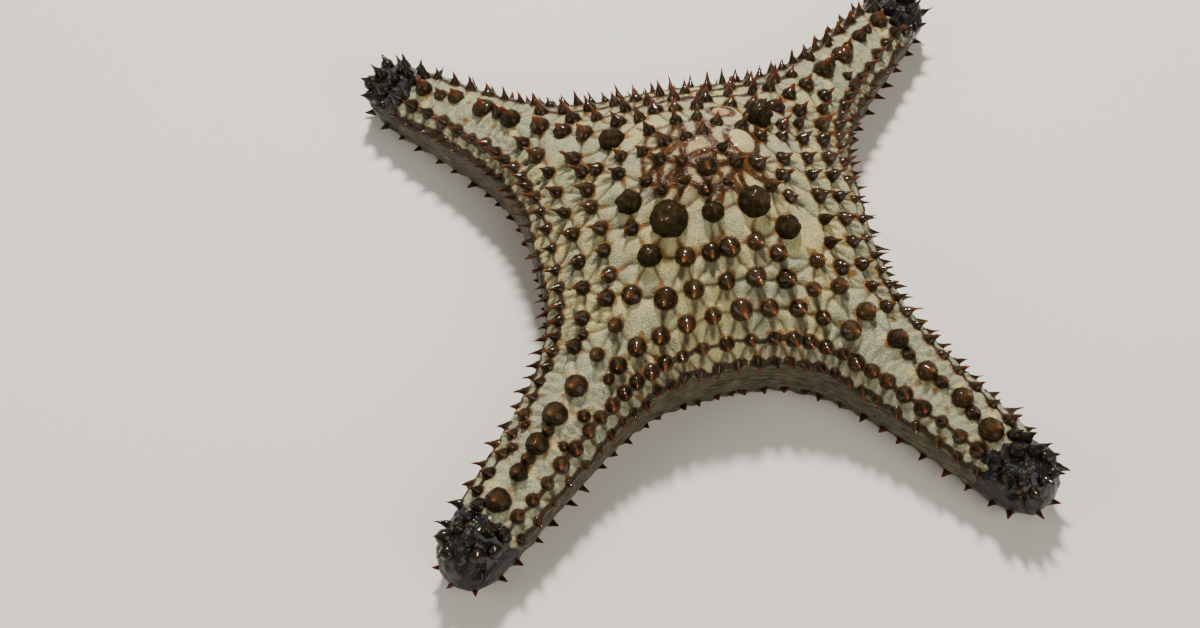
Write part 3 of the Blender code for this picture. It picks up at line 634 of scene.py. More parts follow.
class Sites:
    """Where the tubercles of the upper side stand, with their sizes and the ridges that link them."""

    COLUMNS = ("plan", "width", "length", "kind")

    def __init__(self, star, settings):
        self.random = random_of(0)
        self.star = star
        self.settings = settings
        self.plan, self.width, self.length, self.kind, self.links = [], [], [], [], []
        for k in range(len(star.arms)):
            self.add_rows(k)
        for arm in star.arms:
            self.add_carinals(arm)
        for *spot, width, length in PRIMARIES:
            self.add(plan_of(spot), width, length, "primary")
        for *spot, width in CENTRAL:
            self.add(plan_of(spot), width, CENTRAL_LENGTH, "dome")
        for name in self.COLUMNS:
            setattr(self, name, np.array(getattr(self, name)))
        self.drop_crowded()
        self.fill_gaps()
        self.place = star.on_top(self.plan)
        self.up = star.normal(self.plan)
        self.tone = self.random.uniform(0, 1, len(self.plan))

    def add(self, plan, width, length, kind):
        """Sets a tubercle, varied in size unless it is a primary one, and gives its number."""
        vary = 1 + self.settings.size_spread * self.random.normal(0, 1, 2).clip(-1.6, 1.6)
        if kind == "primary":
            vary = np.ones(2)
        self.plan.append(plan)
        self.width.append(width * vary[0])
        self.length.append(length * vary[1])
        self.kind.append(kind)
        return len(self.plan) - 1

    def at_notch(self, plan, value):
        """This value at the notch, which turns to 1 along the arm."""
        along_arm = ramp(self.star.ridge(plan)[1], NOTCH_S, 0.3)
        return value + (1 - value) * along_arm

    def add_rows(self, k):
        """The rows between one arm's tip and the next one's, round the notch between them."""
        star = self.star
        for number, (inset, *spacings, width, length) in enumerate(ROWS):
            s = np.linspace(NOTCH_S, LAST_SITE_S, 300)
            first, second = (
                margin(arm, s, side) - outward(arm, s, side) * inset
                for arm, side in ((star.arms[k], 1), (star.arms[(k + 1) % 4], -1))
            )
            curve = np.concatenate([first[::-1], second])
            keep = star.inset(curve) > inset - 0.3 * MM
            keep &= star.ridge(curve)[0] > RIDGE_CLEARANCE[number]
            keep &= norm(curve) > CENTRE_CLEARANCE[k]
            curve = curve[keep]
            if len(curve) < 4:
                continue
            kind = ("margin", "chain", "dome")[min(number, 2)]
            wander = self.settings.jitter * (0.4 if number < 2 else 1.0)
            last = None
            spacing = spacing_at(star.ridge(curve)[1], spacings) * self.at_notch(curve, NOTCH_SPREAD[k])
            for plan in spread(curve, spacing, parity=number % 2):
                plan = plan + self.random.normal(0, 0.5 * wander, 2).clip(-wander, wander)
                grow = self.at_notch(plan[None], NOTCH_GROWTH[k])[0]
                index = self.add(plan, width * grow, length * math.sqrt(2 - grow), kind)
                if last is not None:
                    gap = np.linalg.norm(plan - self.plan[last])
                    if gap < 1.7 * max(spacings):
                        self.links.append((last, index, self.ridge_between(k, number, gap)))
                last = index

    def ridge_between(self, k, number, gap):
        """How dark the ridge is that links two neighbours of a row."""
        if number == 0:
            return 1.0
        if number == 1:
            return max(self.random.uniform(0.2, 0.9), 1 - 0.7 * ramp(gap / MM, 5.5, 3))
        if k == BACK_NOTCH and number < 5:
            return self.random.uniform(0.65, 1.0)
        return 0.0

    def add_carinals(self, arm):
        """Single tubercles on the disc, pairs on the outer arm, some beside them, and the tip's cluster."""
        s = np.linspace(CARINAL_START / arm.reach, PAIRS_FROM_S, 60)
        for plan in spread(arm.centre(s), CARINAL_SPACING):
            grow = 1 + 0.16 * self.random.uniform(-1, 1)
            self.add(plan + self.random.normal(0, 0.5 * MM, 2), 6.0 * MM * grow, 4.8 * MM, "carinal")
        s = np.linspace(PAIRS_FROM_S, CLUSTER_FROM_S + 0.01, 60)
        for plan in spread(arm.centre(s), PAIR_SPACING):
            place = arm.station(plan)
            grow = 1 + 0.15 * ramp(place, 0.6, 0.3)
            aside = arm.normal(place) * self.random.uniform(-1, 1) * 1.1 * MM
            self.add(plan + aside, 6.4 * MM * grow, 4.6 * MM, "carinal")
            self.add(plan + arm.tangent(place) * PAIR_OFFSET - 0.5 * aside, 4.6 * MM, 4.2 * MM, "dome")
        for side in (-1, 1):
            for s in np.arange(0.42, 0.86, 0.075) + self.random.uniform(-0.02, 0.02, 6):
                plan = arm.centre(s) + arm.normal(s) * side * taper(s) * self.random.uniform(0.42, 0.54)
                if self.random.uniform() < 0.45:
                    self.add(plan, 3.4 * MM, 3.4 * MM, "dome")
        for s in np.arange(CLUSTER_FROM_S, LAST_SITE_S, 0.029):
            for across in np.arange(-0.8, 0.85, 0.38) + self.random.uniform(-0.15, 0.15):
                plan = arm.centre(s) + arm.normal(s) * taper(s) * across
                plan = plan + self.random.uniform(-1, 1, 2) * MM
                if self.star.inset(plan[None])[0] > 2 * MM:
                    self.add(plan, self.random.uniform(3.2, 5.2) * MM, 4.2 * MM, "dome")

    def drop_crowded(self):
        """Leaves out a tubercle that would stand in another one, the larger of two being kept."""
        clear = norm(self.plan - plan_of(SIEVE)) > 0.5 * self.width + SIEVE[2]
        kept = np.zeros(len(clear), bool)
        for k in np.argsort(-self.width, kind="stable"):
            near = norm(self.plan[kept] - self.plan[k])
            needed = 0.5 * (self.width[kept] + self.width[k])
            tight = 0.8 if self.kind[k] in ("margin", "chain") else 0.87
            kept[k] = clear[k] and not (near < tight * needed).any()
        number = np.cumsum(kept) - 1
        self.links = [(number[a], number[b], r) for a, b, r in self.links if kept[a] and kept[b]]
        for name in self.COLUMNS:
            setattr(self, name, getattr(self, name)[kept])

    def fill_gaps(self):
        """Sets a tubercle wherever the disc's nearest one is too far away, in the widest gap first."""
        whole = even_field(self.star.outline.plan, 2 * MM)
        whole = whole[self.star.inset(whole) > GAP_INSET]
        far = norm(whole)
        free = [plan_of(SIEVE), plan_of(CREAM_PAD)]
        made = []
        for first, last, widest in GAP_BANDS:
            field = whole[(far > first) & (far < last)]
            spots = np.array([*self.plan, *free, *made])
            radii = [*0.5 * self.width, *[KEPT_FREE_RADIUS] * len(free), *[FILLER_RADIUS] * len(made)]
            near = (norm(field[:, None] - spots) - radii).min(1)
            while near.max() > widest:
                made.append(field[near.argmax()])
                near = np.minimum(near, norm(field - made[-1]) - FILLER_RADIUS)
        vary = 1 + self.settings.size_spread * self.random.uniform(-1, 1, (2, len(made)))
        outer = ramp(norm(made) / MM, 20, 20)
        width, length = (4.4 + 0.9 * outer) * MM * vary[0], 5.2 * MM * vary[1]
        for name, more in zip(self.COLUMNS, (made, width, length, ["dome"] * len(made))):
            setattr(self, name, np.concatenate([getattr(self, name), more]))

    def neighbours(self):
        """Every pair of sites whose pads meet at a seam, as (first, second, ridge, in one row)."""
        corners = [Vector(plan) for plan in self.plan]
        edges = delaunay_2d_cdt(corners, [], [], 0, 1e-9)[1]
        known = {frozenset((a, b)) for a, b, _ in self.links}
        found = [(a, b, ridge, True) for a, b, ridge in self.links]
        for a, b in edges:
            if a >= len(self.plan) or b >= len(self.plan) or frozenset((a, b)) in known:
                continue
            if np.linalg.norm(self.place[a] - self.place[b]) < LONGEST_SEAM:
                found.append((a, b, 0.0, False))
        return found


class Seam:
    """The line where two pads meet, from one tubercle to a neighbour."""

    def __init__(self, ends, ridge, in_row, line):
        self.ends = ends
        self.ridge = ridge
        self.in_row = in_row
        self.line = line
        self.middle = line[len(line) // 2]
        self.length = np.linalg.norm(line[-1] - line[0])


def lay_seams(star, sites, step):
    """The seams between all the pads. Each sways a little, and has its points this far apart."""
    pairs = sites.neighbours()
    lines = []
    for a, b, _, _ in pairs:
        start, run = sites.plan[a], sites.plan[b] - sites.plan[a]
        count = max(3, round(np.linalg.norm(sites.place[b] - sites.place[a]) / step) + 1)
        share = np.linspace(0, 1, count)[:, None]
        line = start + share * run
        sway = SEAM_SWAY * value_noise(line, 3 * MM, 11)[:, None] * np.sin(math.pi * share)
        lines.append(line + sway * unit(left_of(run)))
    places = star.on_top(np.concatenate(lines))
    places = np.split(places, np.cumsum([len(line) for line in lines])[:-1])
    return [Seam((a, b), ridge, in_row, line) for (a, b, ridge, in_row), line in zip(pairs, places)]


class Skin:
    """The points of the whole skin, with the fields that its relief and colours follow."""

    def __init__(self, star, seams, settings):
        self.star = star
        ring = star.outline
        downs = np.linspace(0, 1, WALL_ROWS)
        rows = [wall_points(star, down) for down in downs]
        base = rows[-1][:, :2]
        walls = np.concatenate(rows)
        top = self.top_plan(seams, settings.mesh_size)
        under = self.under_plan(base, settings.under_size)
        under_points = np.column_stack([under, star.under_height(under, distance_to_ring(under, base))])
        self.points = np.concatenate([walls, star.on_top(top), under_points])
        self.part = np.repeat(["wall", "top", "under"], [len(walls), len(top), len(under)])
        self.part[: len(base)] = "rim"
        others = (0, len(top) + len(under))
        self.down = np.pad(np.repeat(downs, len(base)), others)
        self.round = np.pad(np.tile(ring.length, WALL_ROWS), others)
        self.teeth = np.pad(np.tile(teeth_of(ring), WALL_ROWS), others)
        self.faces = faces_between(len(base), WALL_ROWS)
        self.faces += triangles(ring.plan, top, 0, len(walls), False)
        self.faces += triangles(base, under, len(walls) - len(base), len(walls) + len(top), True)
        self.order = np.argsort(self.points[:, 0])
        self.sorted = self.points[self.order, 0]

    def top_plan(self, seams, size):
        """Points on the seams, rings along the outline where the surface is steep, then an even field."""
        ring, inset_of = self.star.outline, self.star.inset
        found = []
        shoulder = 12 * MM
        angle = 0.0
        inset = 0.0
        while inset < 5.2 * MM:
            angle += size / shoulder
            inset = shoulder * (1 - math.cos(angle))
            rows = ring.plan - ring.out * inset
            found.append(rows[inset_of(rows) > 0.985 * inset])
        field = even_field(ring.plan, size)
        found.append(field[inset_of(field) > inset + 0.6 * size])
        found = self.star.on_top(thinned(np.concatenate(found), 0.55 * size))
        lines = np.concatenate([seam.line for seam in seams])
        lines = thinned(lines[inset_of(lines[:, :2]) > 0.35 * MM], 0.6 * size)
        return np.concatenate([lines, clear_of(found, lines, 0.6 * size)])[:, :2]

    def under_plan(self, base, size):
        """An even field, closer set along the grooves and round the mouth."""
        found = []
        for step, close in ((size, False), (0.6 * size, True)):
            field = even_field(base, step)
            near = (self.star.ridge(field)[0] < 4.6 * MM) | (norm(field) < 10 * MM)
            found.append(field[near == close])
        field = np.concatenate(found)
        return field[distance_to_ring(field, base) > 0.6 * size]

    def near(self, place, reach):
        """The numbers of the points within this reach of a place, roughly."""
        low, high = np.searchsorted(self.sorted, (place[0] - reach, place[0] + reach))
        found = self.order[low:high]
        return found[np.abs(self.points[found, 1] - place[1]) < reach]


def faces_between(count, rings):
    """The faces between rings of as many points each."""
    made = []
    for first in range(0, (rings - 1) * count, count):
        for k in range(count):
            after = first + (k + 1) % count
            made.append((first + k, first + k + count, after + count, after))
    return made


def distance_to_ring(plan, ring):
    """Each point's distance from the nearest point of a ring."""

    def away(part):
        square = (part[:, 0, None] - ring[:, 0]) ** 2 + (part[:, 1, None] - ring[:, 1]) ** 2
        return np.sqrt(square.min(-1))

    return measured(plan, away)


def inside(plan, ring):
    """Which points lie inside a closed ring."""
    found = np.zeros(len(plan), bool)
    x, y = plan[:, 0], plan[:, 1]
    for (ax, ay), (bx, by) in zip(ring, np.roll(ring, -1, 0)):
        if ay == by:
            continue
        crosses = (ay > y) != (by > y)
        found ^= crosses & (x < (bx - ax) * (y - ay) / (by - ay) + ax)
    return found


def even_field(ring, step):
    """The points of an even triangular net that lie inside a ring."""
    reach = np.abs(ring).max(0)
    lines = np.arange(-reach[1], reach[1], step * math.sqrt(0.75))
    x, y = np.meshgrid(np.arange(-reach[0], reach[0], step), lines)
    x = x + 0.5 * step * (np.arange(len(lines)) % 2)[:, None]
    field = np.column_stack([x.ravel(), y.ravel()])
    return field[inside(field, ring)]


def thinned(points, spacing):
    """The points without those that share a square or cube of this size with an earlier one."""
    first = np.unique(np.floor(points / spacing), axis=0, return_index=True)[1]
    return points[np.sort(first)]


def tree_of(points):
    """A tree that finds the nearest of these points."""
    tree = KDTree(len(points))
    for number, point in enumerate(points):
        tree.insert(point, number)
    tree.balance()
    return tree


def clear_of(points, others, gap):
    """The points that are farther than this from all the others."""
    tree = tree_of(others)
    return points[[tree.find(point)[2] > gap for point in points]]


def triangles(ring, field, ring_start, field_start, flip):
    """The triangles that fill a ring through the points of a field, by the skin's point numbers."""
    corners = [Vector(point) for point in (*ring, *field)]
    made = delaunay_2d_cdt(corners, [], [list(range(len(ring)))], 1, 1e-8)
    numbers = [*range(ring_start, ring_start + len(ring)), *range(field_start, field_start + len(field))]
    origin = [numbers[sources[0]] for sources in made[3]]
    faces = [tuple(origin[corner] for corner in face) for face in made[2]]
    return [face[::-1] for face in faces] if flip else faces


def along_line(points, line):
    """Each point's distance from a line over several points, and its share along it."""
    runs = np.diff(line, axis=0)
    offset = points[:, None] - line[:-1]
    share = np.clip((offset * runs).sum(-1) / np.maximum((runs**2).sum(-1), 1e-18), 0, 1)
    away = norm(offset - share[..., None] * runs)
    nearest = away.argmin(1)
    rows = np.arange(len(points))
    return away[rows, nearest], (nearest + share[rows, nearest]) / len(runs)


class Relief:
    """Masks and heights of the skin, worked out from the tubercles that stand on it."""

    # What the skin's finish reads, and what only its heights follow
    NAMES = (
        "seam", "chain", "web", "crease", "halo", "foot", "spot",
        "centre", "arm", "tip", "wall", "under", "plate",
    )
    HEIGHTS = ("valley", "rope", "flare", "lip", "seat")
    WEB_MIDDLE = (0.0, 3 * MM)

    def __init__(self, skin, sites, seams, settings):
        self.skin = skin
        self.star = skin.star
        self.sites = sites
        self.seams = seams
        self.settings = settings
        self.random = random_of(1)
        self.mask = {name: np.zeros(len(skin.points)) for name in (*self.NAMES, *self.HEIGHTS)}
        self.upper = np.isin(skin.part, ("top", "rim", "wall")) & (skin.down < 0.45)
        self.regions()
        self.furrows()
        self.stalk()
        self.feet()
        self.pleats()
        self.spots()
        self.cream_pad()
        self.sieve_seat()
        self.height = self.heights()

    def raise_to(self, name, where, values):
        mask = self.mask[name]
        mask[where] = np.maximum(mask[where], values)

    def near(self, place, reach):
        """The numbers of the upper side's points within this reach of a place, roughly."""
        found = self.skin.near(place, reach)
        return found[self.upper[found]]

    def regions(self):
        """The arms, their tips, the side wall, the underside and the disc's wet centre."""
        skin, mask = self.skin, self.mask
        plan = skin.points[:, :2]
        away, self.s, _ = self.star.ridge(plan)
        noise = value_noise(skin.points, 5 * MM, 3) + 0.5 * value_noise(skin.points, 2 * MM, 4)
        mask["tip"] = smooth_step((self.s - CLUSTER_FROM_S + 0.03 * noise) / 0.02)
        mask["arm"] = ramp(self.s, 0.35, 0.25)
        mask["wall"] = (skin.part == "wall").astype(float)
        shoulder = np.isin(skin.part, ("rim", "top"))
        mask["wall"][shoulder] = 1 - ramp(self.star.inset(plan[shoulder]) / MM, 0.12, 0.5)
        mask["under"] = (skin.part == "under").astype(float)
        mask["under"][skin.down >= 0.999] = 0.6
        far = norm(plan)
        wide = CENTRE_REACH + 3 * MM * value_noise(plan, 9 * MM, 5)
        centre = 1 - ramp(far, 0.55 * wide, 0.45 * wide)
        mask["centre"] = np.where(skin.part == "top", centre, 0.0)
        self.groove = np.where(skin.part == "under", 1 - ramp(away, 3.2 * MM, 1.2 * MM), 0.0)

    def furrows(self):
        """The furrow of each seam, and dark ridges where the row is a chain or near the disc's centre."""
        sites = self.sites
        from_middle = norm(sites.plan - self.WEB_MIDDLE)
        for seam in self.seams:
            a, b = seam.ends
            near = self.near(seam.middle, 0.5 * seam.length + 5 * MM)
            away, share = along_line(self.skin.points[near], seam.line)
            if seam.ridge:
                back = behind(sites.place[a][1], 20 * MM)
                line = seam.ridge * bell(away, (1.15 + 0.75 * back) * MM)
                self.raise_to("chain", near, line)
                self.raise_to("rope", near, back * line * (1 - np.sin(math.pi * share)))
            outer = {"margin", "chain"} >= {sites.kind[a], sites.kind[b]}
            faint = not seam.in_row and not outer and self.random.uniform() < FAINT_SEAMS
            strength = self.random.uniform(0.2, 0.4) if faint else self.random.uniform(0.75, 1.0)
            self.raise_to("seam", near, strength * bell(away, SEAM_WIDTH))
            depth = 0.45 * np.exp(-away / (0.9 * MM)) + 0.55 * bell(away, FURROW_WIDTH)
            self.raise_to("valley", near, strength * depth)
            if seam.in_row:
                self.scale(near, away, seam.line[0], sites.up[a] + sites.up[b])
            central = 1 - ramp(0.5 * (from_middle[a] + from_middle[b]) / MM, 17, 8)
            if central > 0 and seam.length < 14 * MM and self.random.uniform() < 0.92:
                central *= self.random.uniform(0.85, 1.0)
                self.raise_to("web", near, central * bell(away, self.random.uniform(1.2, 2.1) * MM))
            else:
                self.streak(near, away, share, a, b)

    def scale(self, near, away, start, up):
        """The pads above a row of tubercles stand over those below it, and behind the disc the other way."""
        down_slope = unit(np.array([up[0], up[1], 0.0]))
        side = np.tanh((self.skin.points[near] - start) @ down_slope / (0.5 * MM))
        turn = 1 - 1.7 * behind(start[1], 15 * MM)
        lip = -side * turn * self.settings.lip_rise * np.exp(-away / (2.2 * MM))
        before = self.mask["lip"][near]
        self.mask["lip"][near] = np.where(np.abs(lip) > np.abs(before), lip, before)

    def streak(self, near, away, share, a, b):
        """The orange line that runs from a tubercle to the higher of two neighbours."""
        sites = self.sites
        low = a if sites.place[a][2] < sites.place[b][2] else b
        from_low = share if low == a else 1 - share
        run = np.linalg.norm(sites.place[a] - sites.place[b])
        along = from_low * run - 0.42 * sites.width[low]
        primary = "primary" in (sites.kind[a], sites.kind[b])
        glow = max(self.random.uniform(0.0, 1.0) ** 1.3, 0.75 * primary)
        wide, reach = (1.1 * MM, 4.0 * MM) if primary else (0.8 * MM, 2.2 * MM)
        values = glow * bell(away, wide) * bell(np.maximum(along, 0), reach)
        self.raise_to("halo", near, np.where(along > -0.5 * MM, values, 0))

    def stalk(self):
        """The glossy ridge from the teardrop-shaped tubercle to a small one beside the centre."""
        ends = np.array([plan_of(PRIMARIES[STALK_FROM]), plan_of(STALK_END)])
        near = self.near(self.star.on_top(0.5 * ends.sum(0)[None])[0], 20 * MM)
        away = along_line(self.skin.points[near, :2], ends)[0]
        away = away + 0.35 * MM * value_noise(self.skin.points[near], 2.5 * MM, 12)
        self.raise_to("web", near, bell(away, 1.2 * MM))
        self.mask["lip"][near] += 0.9 * MM * bell(away, 1.1 * MM)

    def feet(self):
        """The skin's flare at each tubercle, its orange rim and the groove below it, which is also painted
        dark as the tubercle's shadow.
        """
        sites = self.sites
        for k, place in enumerate(sites.place):
            near = self.near(place, 9 * MM)
            offset = self.skin.points[near] - place
            away = norm(offset)
            kind, radius, up = sites.kind[k], 0.5 * sites.width[k], sites.up[k]
            down_slope = unit(np.array([up[0], up[1], 0.0]) - up * (up[0] ** 2 + up[1] ** 2))
            below = offset @ down_slope
            flare = np.exp(-((past(away, 0.85 * radius) / (0.8 * MM)) ** 1.3))
            self.raise_to("flare", near, flare * min(1.0, radius / (2.4 * MM)))
            self.raise_to("foot", near, bell(past(away, 0.95 * radius), 0.5 * MM))
            lateral = offset @ unit(np.cross((0.0, 0.0, 1.0), down_slope))
            turn = np.arctan2(lateral, -below)
            lobes = np.zeros(len(near))
            for side in (-1, 1):
                lobe = bell(turn - side * self.random.uniform(0.6, 1.1), 0.45)
                lobes = np.maximum(lobes, lobe * self.random.uniform(0.1, 1.0))
            rim = np.exp(-((past(away, radius) / ((0.6 + lobes) * MM)) ** 1.5)) * (0.45 + 0.55 * lobes)
            self.raise_to("halo", near, rim * (0.6 if kind == "margin" else 1.0))
            from_middle = np.linalg.norm(sites.plan[k] - self.WEB_MIDDLE)
            apron = 1 - ramp(from_middle / MM, 16, 8)
            self.raise_to("web", near, apron * bell(past(away, 0.9 * radius), 1.1 * MM))
            if kind in ("dome", "carinal", "chain") and up[2] < 0.995:
                self.crease(near, lateral, below, radius, kind)
            if kind in ("chain", "margin"):
                self.raise_to("chain", near, bell(past(away, 0.7 * radius), 0.8 * MM))

    def crease(self, near, lateral, below, radius, kind):
        """A groove that narrows down the slope below a tubercle. Its mask sinks the skin a little, and its
        dark colour is partly painted shadow of the tubercle.
        """
        reach = (8.0 if kind == "dome" else 6.0) * MM * self.random.uniform(0.7, 1.15)
        lateral = np.abs(lateral - self.random.uniform(-0.12, 0.12) * below)
        share = np.clip((below - 0.3 * radius) / reach, 0, 1)
        half = (0.75 * radius + 0.3 * MM) * (1 - share) ** 0.8 + 0.15 * MM
        values = (1 - smooth_step(lateral / half)) * ramp(below, 0.3 * radius, 0.5 * radius)
        self.raise_to("crease", near, values * (1 - ramp(share, 0.6, 0.4)))

    def pleats(self):
        """Narrow pleats across the strips between the outer rows, along the inner half of every arm."""
        skin, ring = self.skin, self.star.outline
        top = np.flatnonzero(skin.part == "top")
        tree = tree_of(np.column_stack([ring.plan, np.zeros(len(ring.plan))]))
        found = [tree.find((x, y, 0.0))[1:] for x, y in skin.points[top, :2]]
        nearest, inset = np.array(found).T
        strip = smooth_step(inset / (1.5 * MM)) * (1 - ramp(inset / MM, 8, 4))
        strip *= ramp(self.s[top], 0.29, 0.08) * (1 - ramp(self.s[top], 0.66, 0.14))
        sway = 1.6 * value_noise(skin.points[top], 7 * MM, 35)
        wave = np.cos(2 * math.pi * ring.length[nearest.astype(int)] / PLEAT + sway) * strip
        self.mask["lip"][top] += PLEAT_RISE * wave
        # The troughs of the pleats are painted dark with the seams' colour
        self.raise_to("seam", top, 0.8 * ramp(-wave, 0.2, 0.8))

    def spots(self):
        """Pale spots beside the outer ridge's tubercles, and stray orange ones."""
        sites, star = self.sites, self.star
        for k in np.flatnonzero(sites.kind == "carinal"):
            _, s, number = (value[0] for value in star.ridge(sites.plan[k][None]))
            if not PAIRS_FROM_S < s < 0.9:
                continue
            arm = star.arms[number]
            out = arm.tangent(s) * 0.62 + arm.normal(s) * self.random.choice((-0.75, 0.75))
            self.spot("spot", sites.plan[k] - out * (0.5 * sites.width[k] + 1.2 * MM), 1.9 * MM)
        for arm in star.arms:
            for _ in range(STRAY_SPOTS):
                s = self.random.uniform(0.35, 0.85)
                aside = self.random.uniform(-0.62, 0.62) * taper(s)
                self.spot("halo", arm.centre(s) + arm.normal(s) * aside, self.random.uniform(0.8, 1.3) * MM)

    def spot(self, name, plan, radius):
        place = self.star.on_top(plan[None])[0]
        near = self.near(place, 2 * radius)
        away = norm(self.skin.points[near] - place)
        away = away * (1 + 0.25 * value_noise(self.skin.points[near], 1.5 * MM, 21))
        self.raise_to(name, near, 0.85 * (1 - smooth_step(away / radius - 0.5)))

    def ring_round(self, spot, shape):
        """Lays the wet network round a spot. Gives each point's share of its radius, plain and ragged."""
        points, radius = self.skin.points, spot[2]
        away = norm((points - self.star.on_top(plan_of(spot)[None])[0]) * shape) / radius
        ragged = away + 0.12 * value_noise(points, 3 * MM, 22)
        self.raise_to("web", slice(None), np.where(self.upper, bell((ragged - 1.2) * radius, 1.2 * MM), 0))
        return away, ragged

    def cream_pad(self):
        """The bare, domed pad beside the centre."""
        away, ragged = self.ring_round(CREAM_PAD, (1, 0.66, 0.66))
        bare = np.where(self.upper, ramp(away, 0.75, 0.3), 1)
        for name in ("valley", "web", "seam", "centre", "halo"):
            self.mask[name] *= bare
        self.raise_to("spot", slice(None), np.where(self.upper, 0.6 * (1 - smooth_step(ragged - 0.4)), 0))
        self.mask["lip"] += np.where(self.upper, 1.5 * MM * np.maximum(1 - away**2, 0), 0)

    def sieve_seat(self):
        """The hollow that the sieve plate sits in."""
        away = self.ring_round(SIEVE, (1, 1, 1))[0]
        self.mask["seat"] = np.where(self.upper, 1 - ramp(away, 0.95, 0.35), 0.0)

    def heights(self):
        """How far each point stands out from the plain form."""
        skin, mask, settings = self.skin, self.mask, self.settings
        points = skin.points
        upper = np.isin(skin.part, ("top", "rim")).astype(float)
        upper = np.maximum(upper, np.where(skin.part == "wall", 1 - smooth_step(skin.down / 0.3), 0))
        lumps = 0.26 * MM * value_noise(points, 3.4 * MM, 31) + 0.12 * MM * value_noise(points, 1.5 * MM, 32)
        back = behind(points[:, 1], 28 * MM) * (1 - mask["arm"])
        flatter = (1 - 0.35 * back) * (1 - 0.3 * mask["arm"])
        pads = settings.pad_rise * flatter * (0.42 - mask["valley"]) + mask["lip"] + lumps
        ridge = settings.chain_rise * (1 + 0.5 * back) + 1.1 * MM * mask["rope"]
        for name, rise in (("chain", ridge), ("web", settings.chain_rise)):
            pads = pads * (1 - mask[name]) + (rise + 2 * lumps) * mask[name]
        pads = pads - settings.crease_depth * mask["crease"] * (1 - mask["flare"])
        for name, rise in (("flare", 0.55 * MM), ("seat", -0.35 * MM)):
            pads = pads * (1 - mask[name]) + rise * mask[name]
        dark = 0.6 * MM * value_noise(points, 3.0 * MM, 33) + 0.45 * MM * value_noise(points, 1.6 * MM, 34)
        pads = pads * (1 - 0.6 * mask["tip"]) + (dark - 0.4 * MM) * mask["tip"]
        return pads * upper + self.wall_folds() + self.plates() * (skin.part == "under")

    def wall_folds(self):
        """The long wrinkles of the side wall, and the scallops between its lower spines."""
        skin = self.skin
        band = np.column_stack([skin.round, skin.down * 8 * MM])
        lines = value_noise(band * (0.12, 1.0), 0.9 * MM, 41)
        lines = lines + 0.5 * value_noise(band * (0.3, 1.0), 0.5 * MM, 42)
        scallop = -0.35 * MM * np.cos(2 * math.pi * skin.teeth) * ramp(skin.down, 0.55, 0.3)
        folds = value_noise(band * (0.09, 1.0), 2.2 * MM, 43)
        wall = 0.26 * MM * lines + 0.55 * MM * folds + scallop - 0.2 * MM
        return wall * np.where(skin.part == "wall", smooth_step(skin.down / 0.25), 0)

    def plates(self):
        """The underside's flat plates, parted by narrow furrows, as high over the floor as the granules."""
        self.mask["plate"] = 1 - smooth_step(plate_edge(self.skin.points[:, :2]) / (0.8 * MM))
        return -(0.55 * MM + 0.45 * MM * self.mask["plate"]) * (1 - 0.5 * self.groove)


def plate_edge(plan):
    """Each point's distance from the nearest edge of the underside's uneven plates."""
    grid = np.floor(plan / PLATE_SIZE).astype(np.int64)
    nearest = np.full((2, len(plan)), np.inf)
    for dx in (-1, 0, 1):
        for dy in (-1, 0, 1):
            cell = grid + (dx, dy)
            key = cell[:, 0] * 92837111 ^ cell[:, 1] * 689287499 ^ PLATE_SEED * 283923481
            mixed = (key ^ (key >> 13)) * 1274126177 & 0xFFFFFFFF
            middle = cell + (0.15 + 0.7 * np.column_stack([mixed & 0xFFFF, mixed >> 16]) / 0xFFFF)
            away = np.hypot(*(middle * PLATE_SIZE - plan).T)
            closer = away < nearest[0]
            nearest[1] = np.where(closer, nearest[0], np.minimum(nearest[1], away))
            nearest[0] = np.where(closer, away, nearest[0])
    return 0.5 * (nearest[1] - nearest[0])


def linked(name, data):
    """A new object with this data, in the scene."""
    made = bpy.data.objects.new(name, data)
    bpy.context.scene.collection.objects.link(made)
    return made


def new_object(name, points, faces, attributes):
    """A mesh object at the origin, from points in the star's own frame."""
    mesh = bpy.data.meshes.new(name)
    mesh.from_pydata((np.asarray(points) + CENTRE).tolist(), [], faces)
    for key, values in attributes.items():
        values = np.asarray(values, np.float32)
        kind, label = ("FLOAT_VECTOR", "vector") if values.ndim == 2 else ("FLOAT", "value")
        mesh.attributes.new(key, kind, "POINT").data.foreach_set(label, values.ravel())
    return linked(name, mesh)


def read_all(items, key, parts):
    """One number, or this many, of every item in a mesh's list."""
    found = np.zeros(len(items) * parts, np.float32)
    items.foreach_get(key, found)
    return found.reshape(-1, parts)


def shade_smooth(piece):
    piece.data.polygons.foreach_set("use_smooth", np.ones(len(piece.data.polygons), bool))
    piece.data.update()


def round_piece(name, rings, value_name, values, flip):
    """A closed piece from rings of as many points each, from the middle of its front round to its back."""
    spokes, last = len(rings[0]), (len(rings) - 1) * len(rings[0])
    faces = [tuple(range(spokes)), tuple(range(last, last + spokes))[::-1]]
    faces += faces_between(spokes, len(rings))
    if flip:
        faces = [face[::-1] for face in faces]
    piece = new_object(name, np.concatenate(rings), faces, {value_name: np.concatenate(values)})
    shade_smooth(piece)
    return piece


def declare(piece, slot, *nodes):
    """Rides the piece on the star's one body, in place of these nodes, which it hides. The slot is not used.
    """
    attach(piece, "root")
    if nodes:
        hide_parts(*nodes)


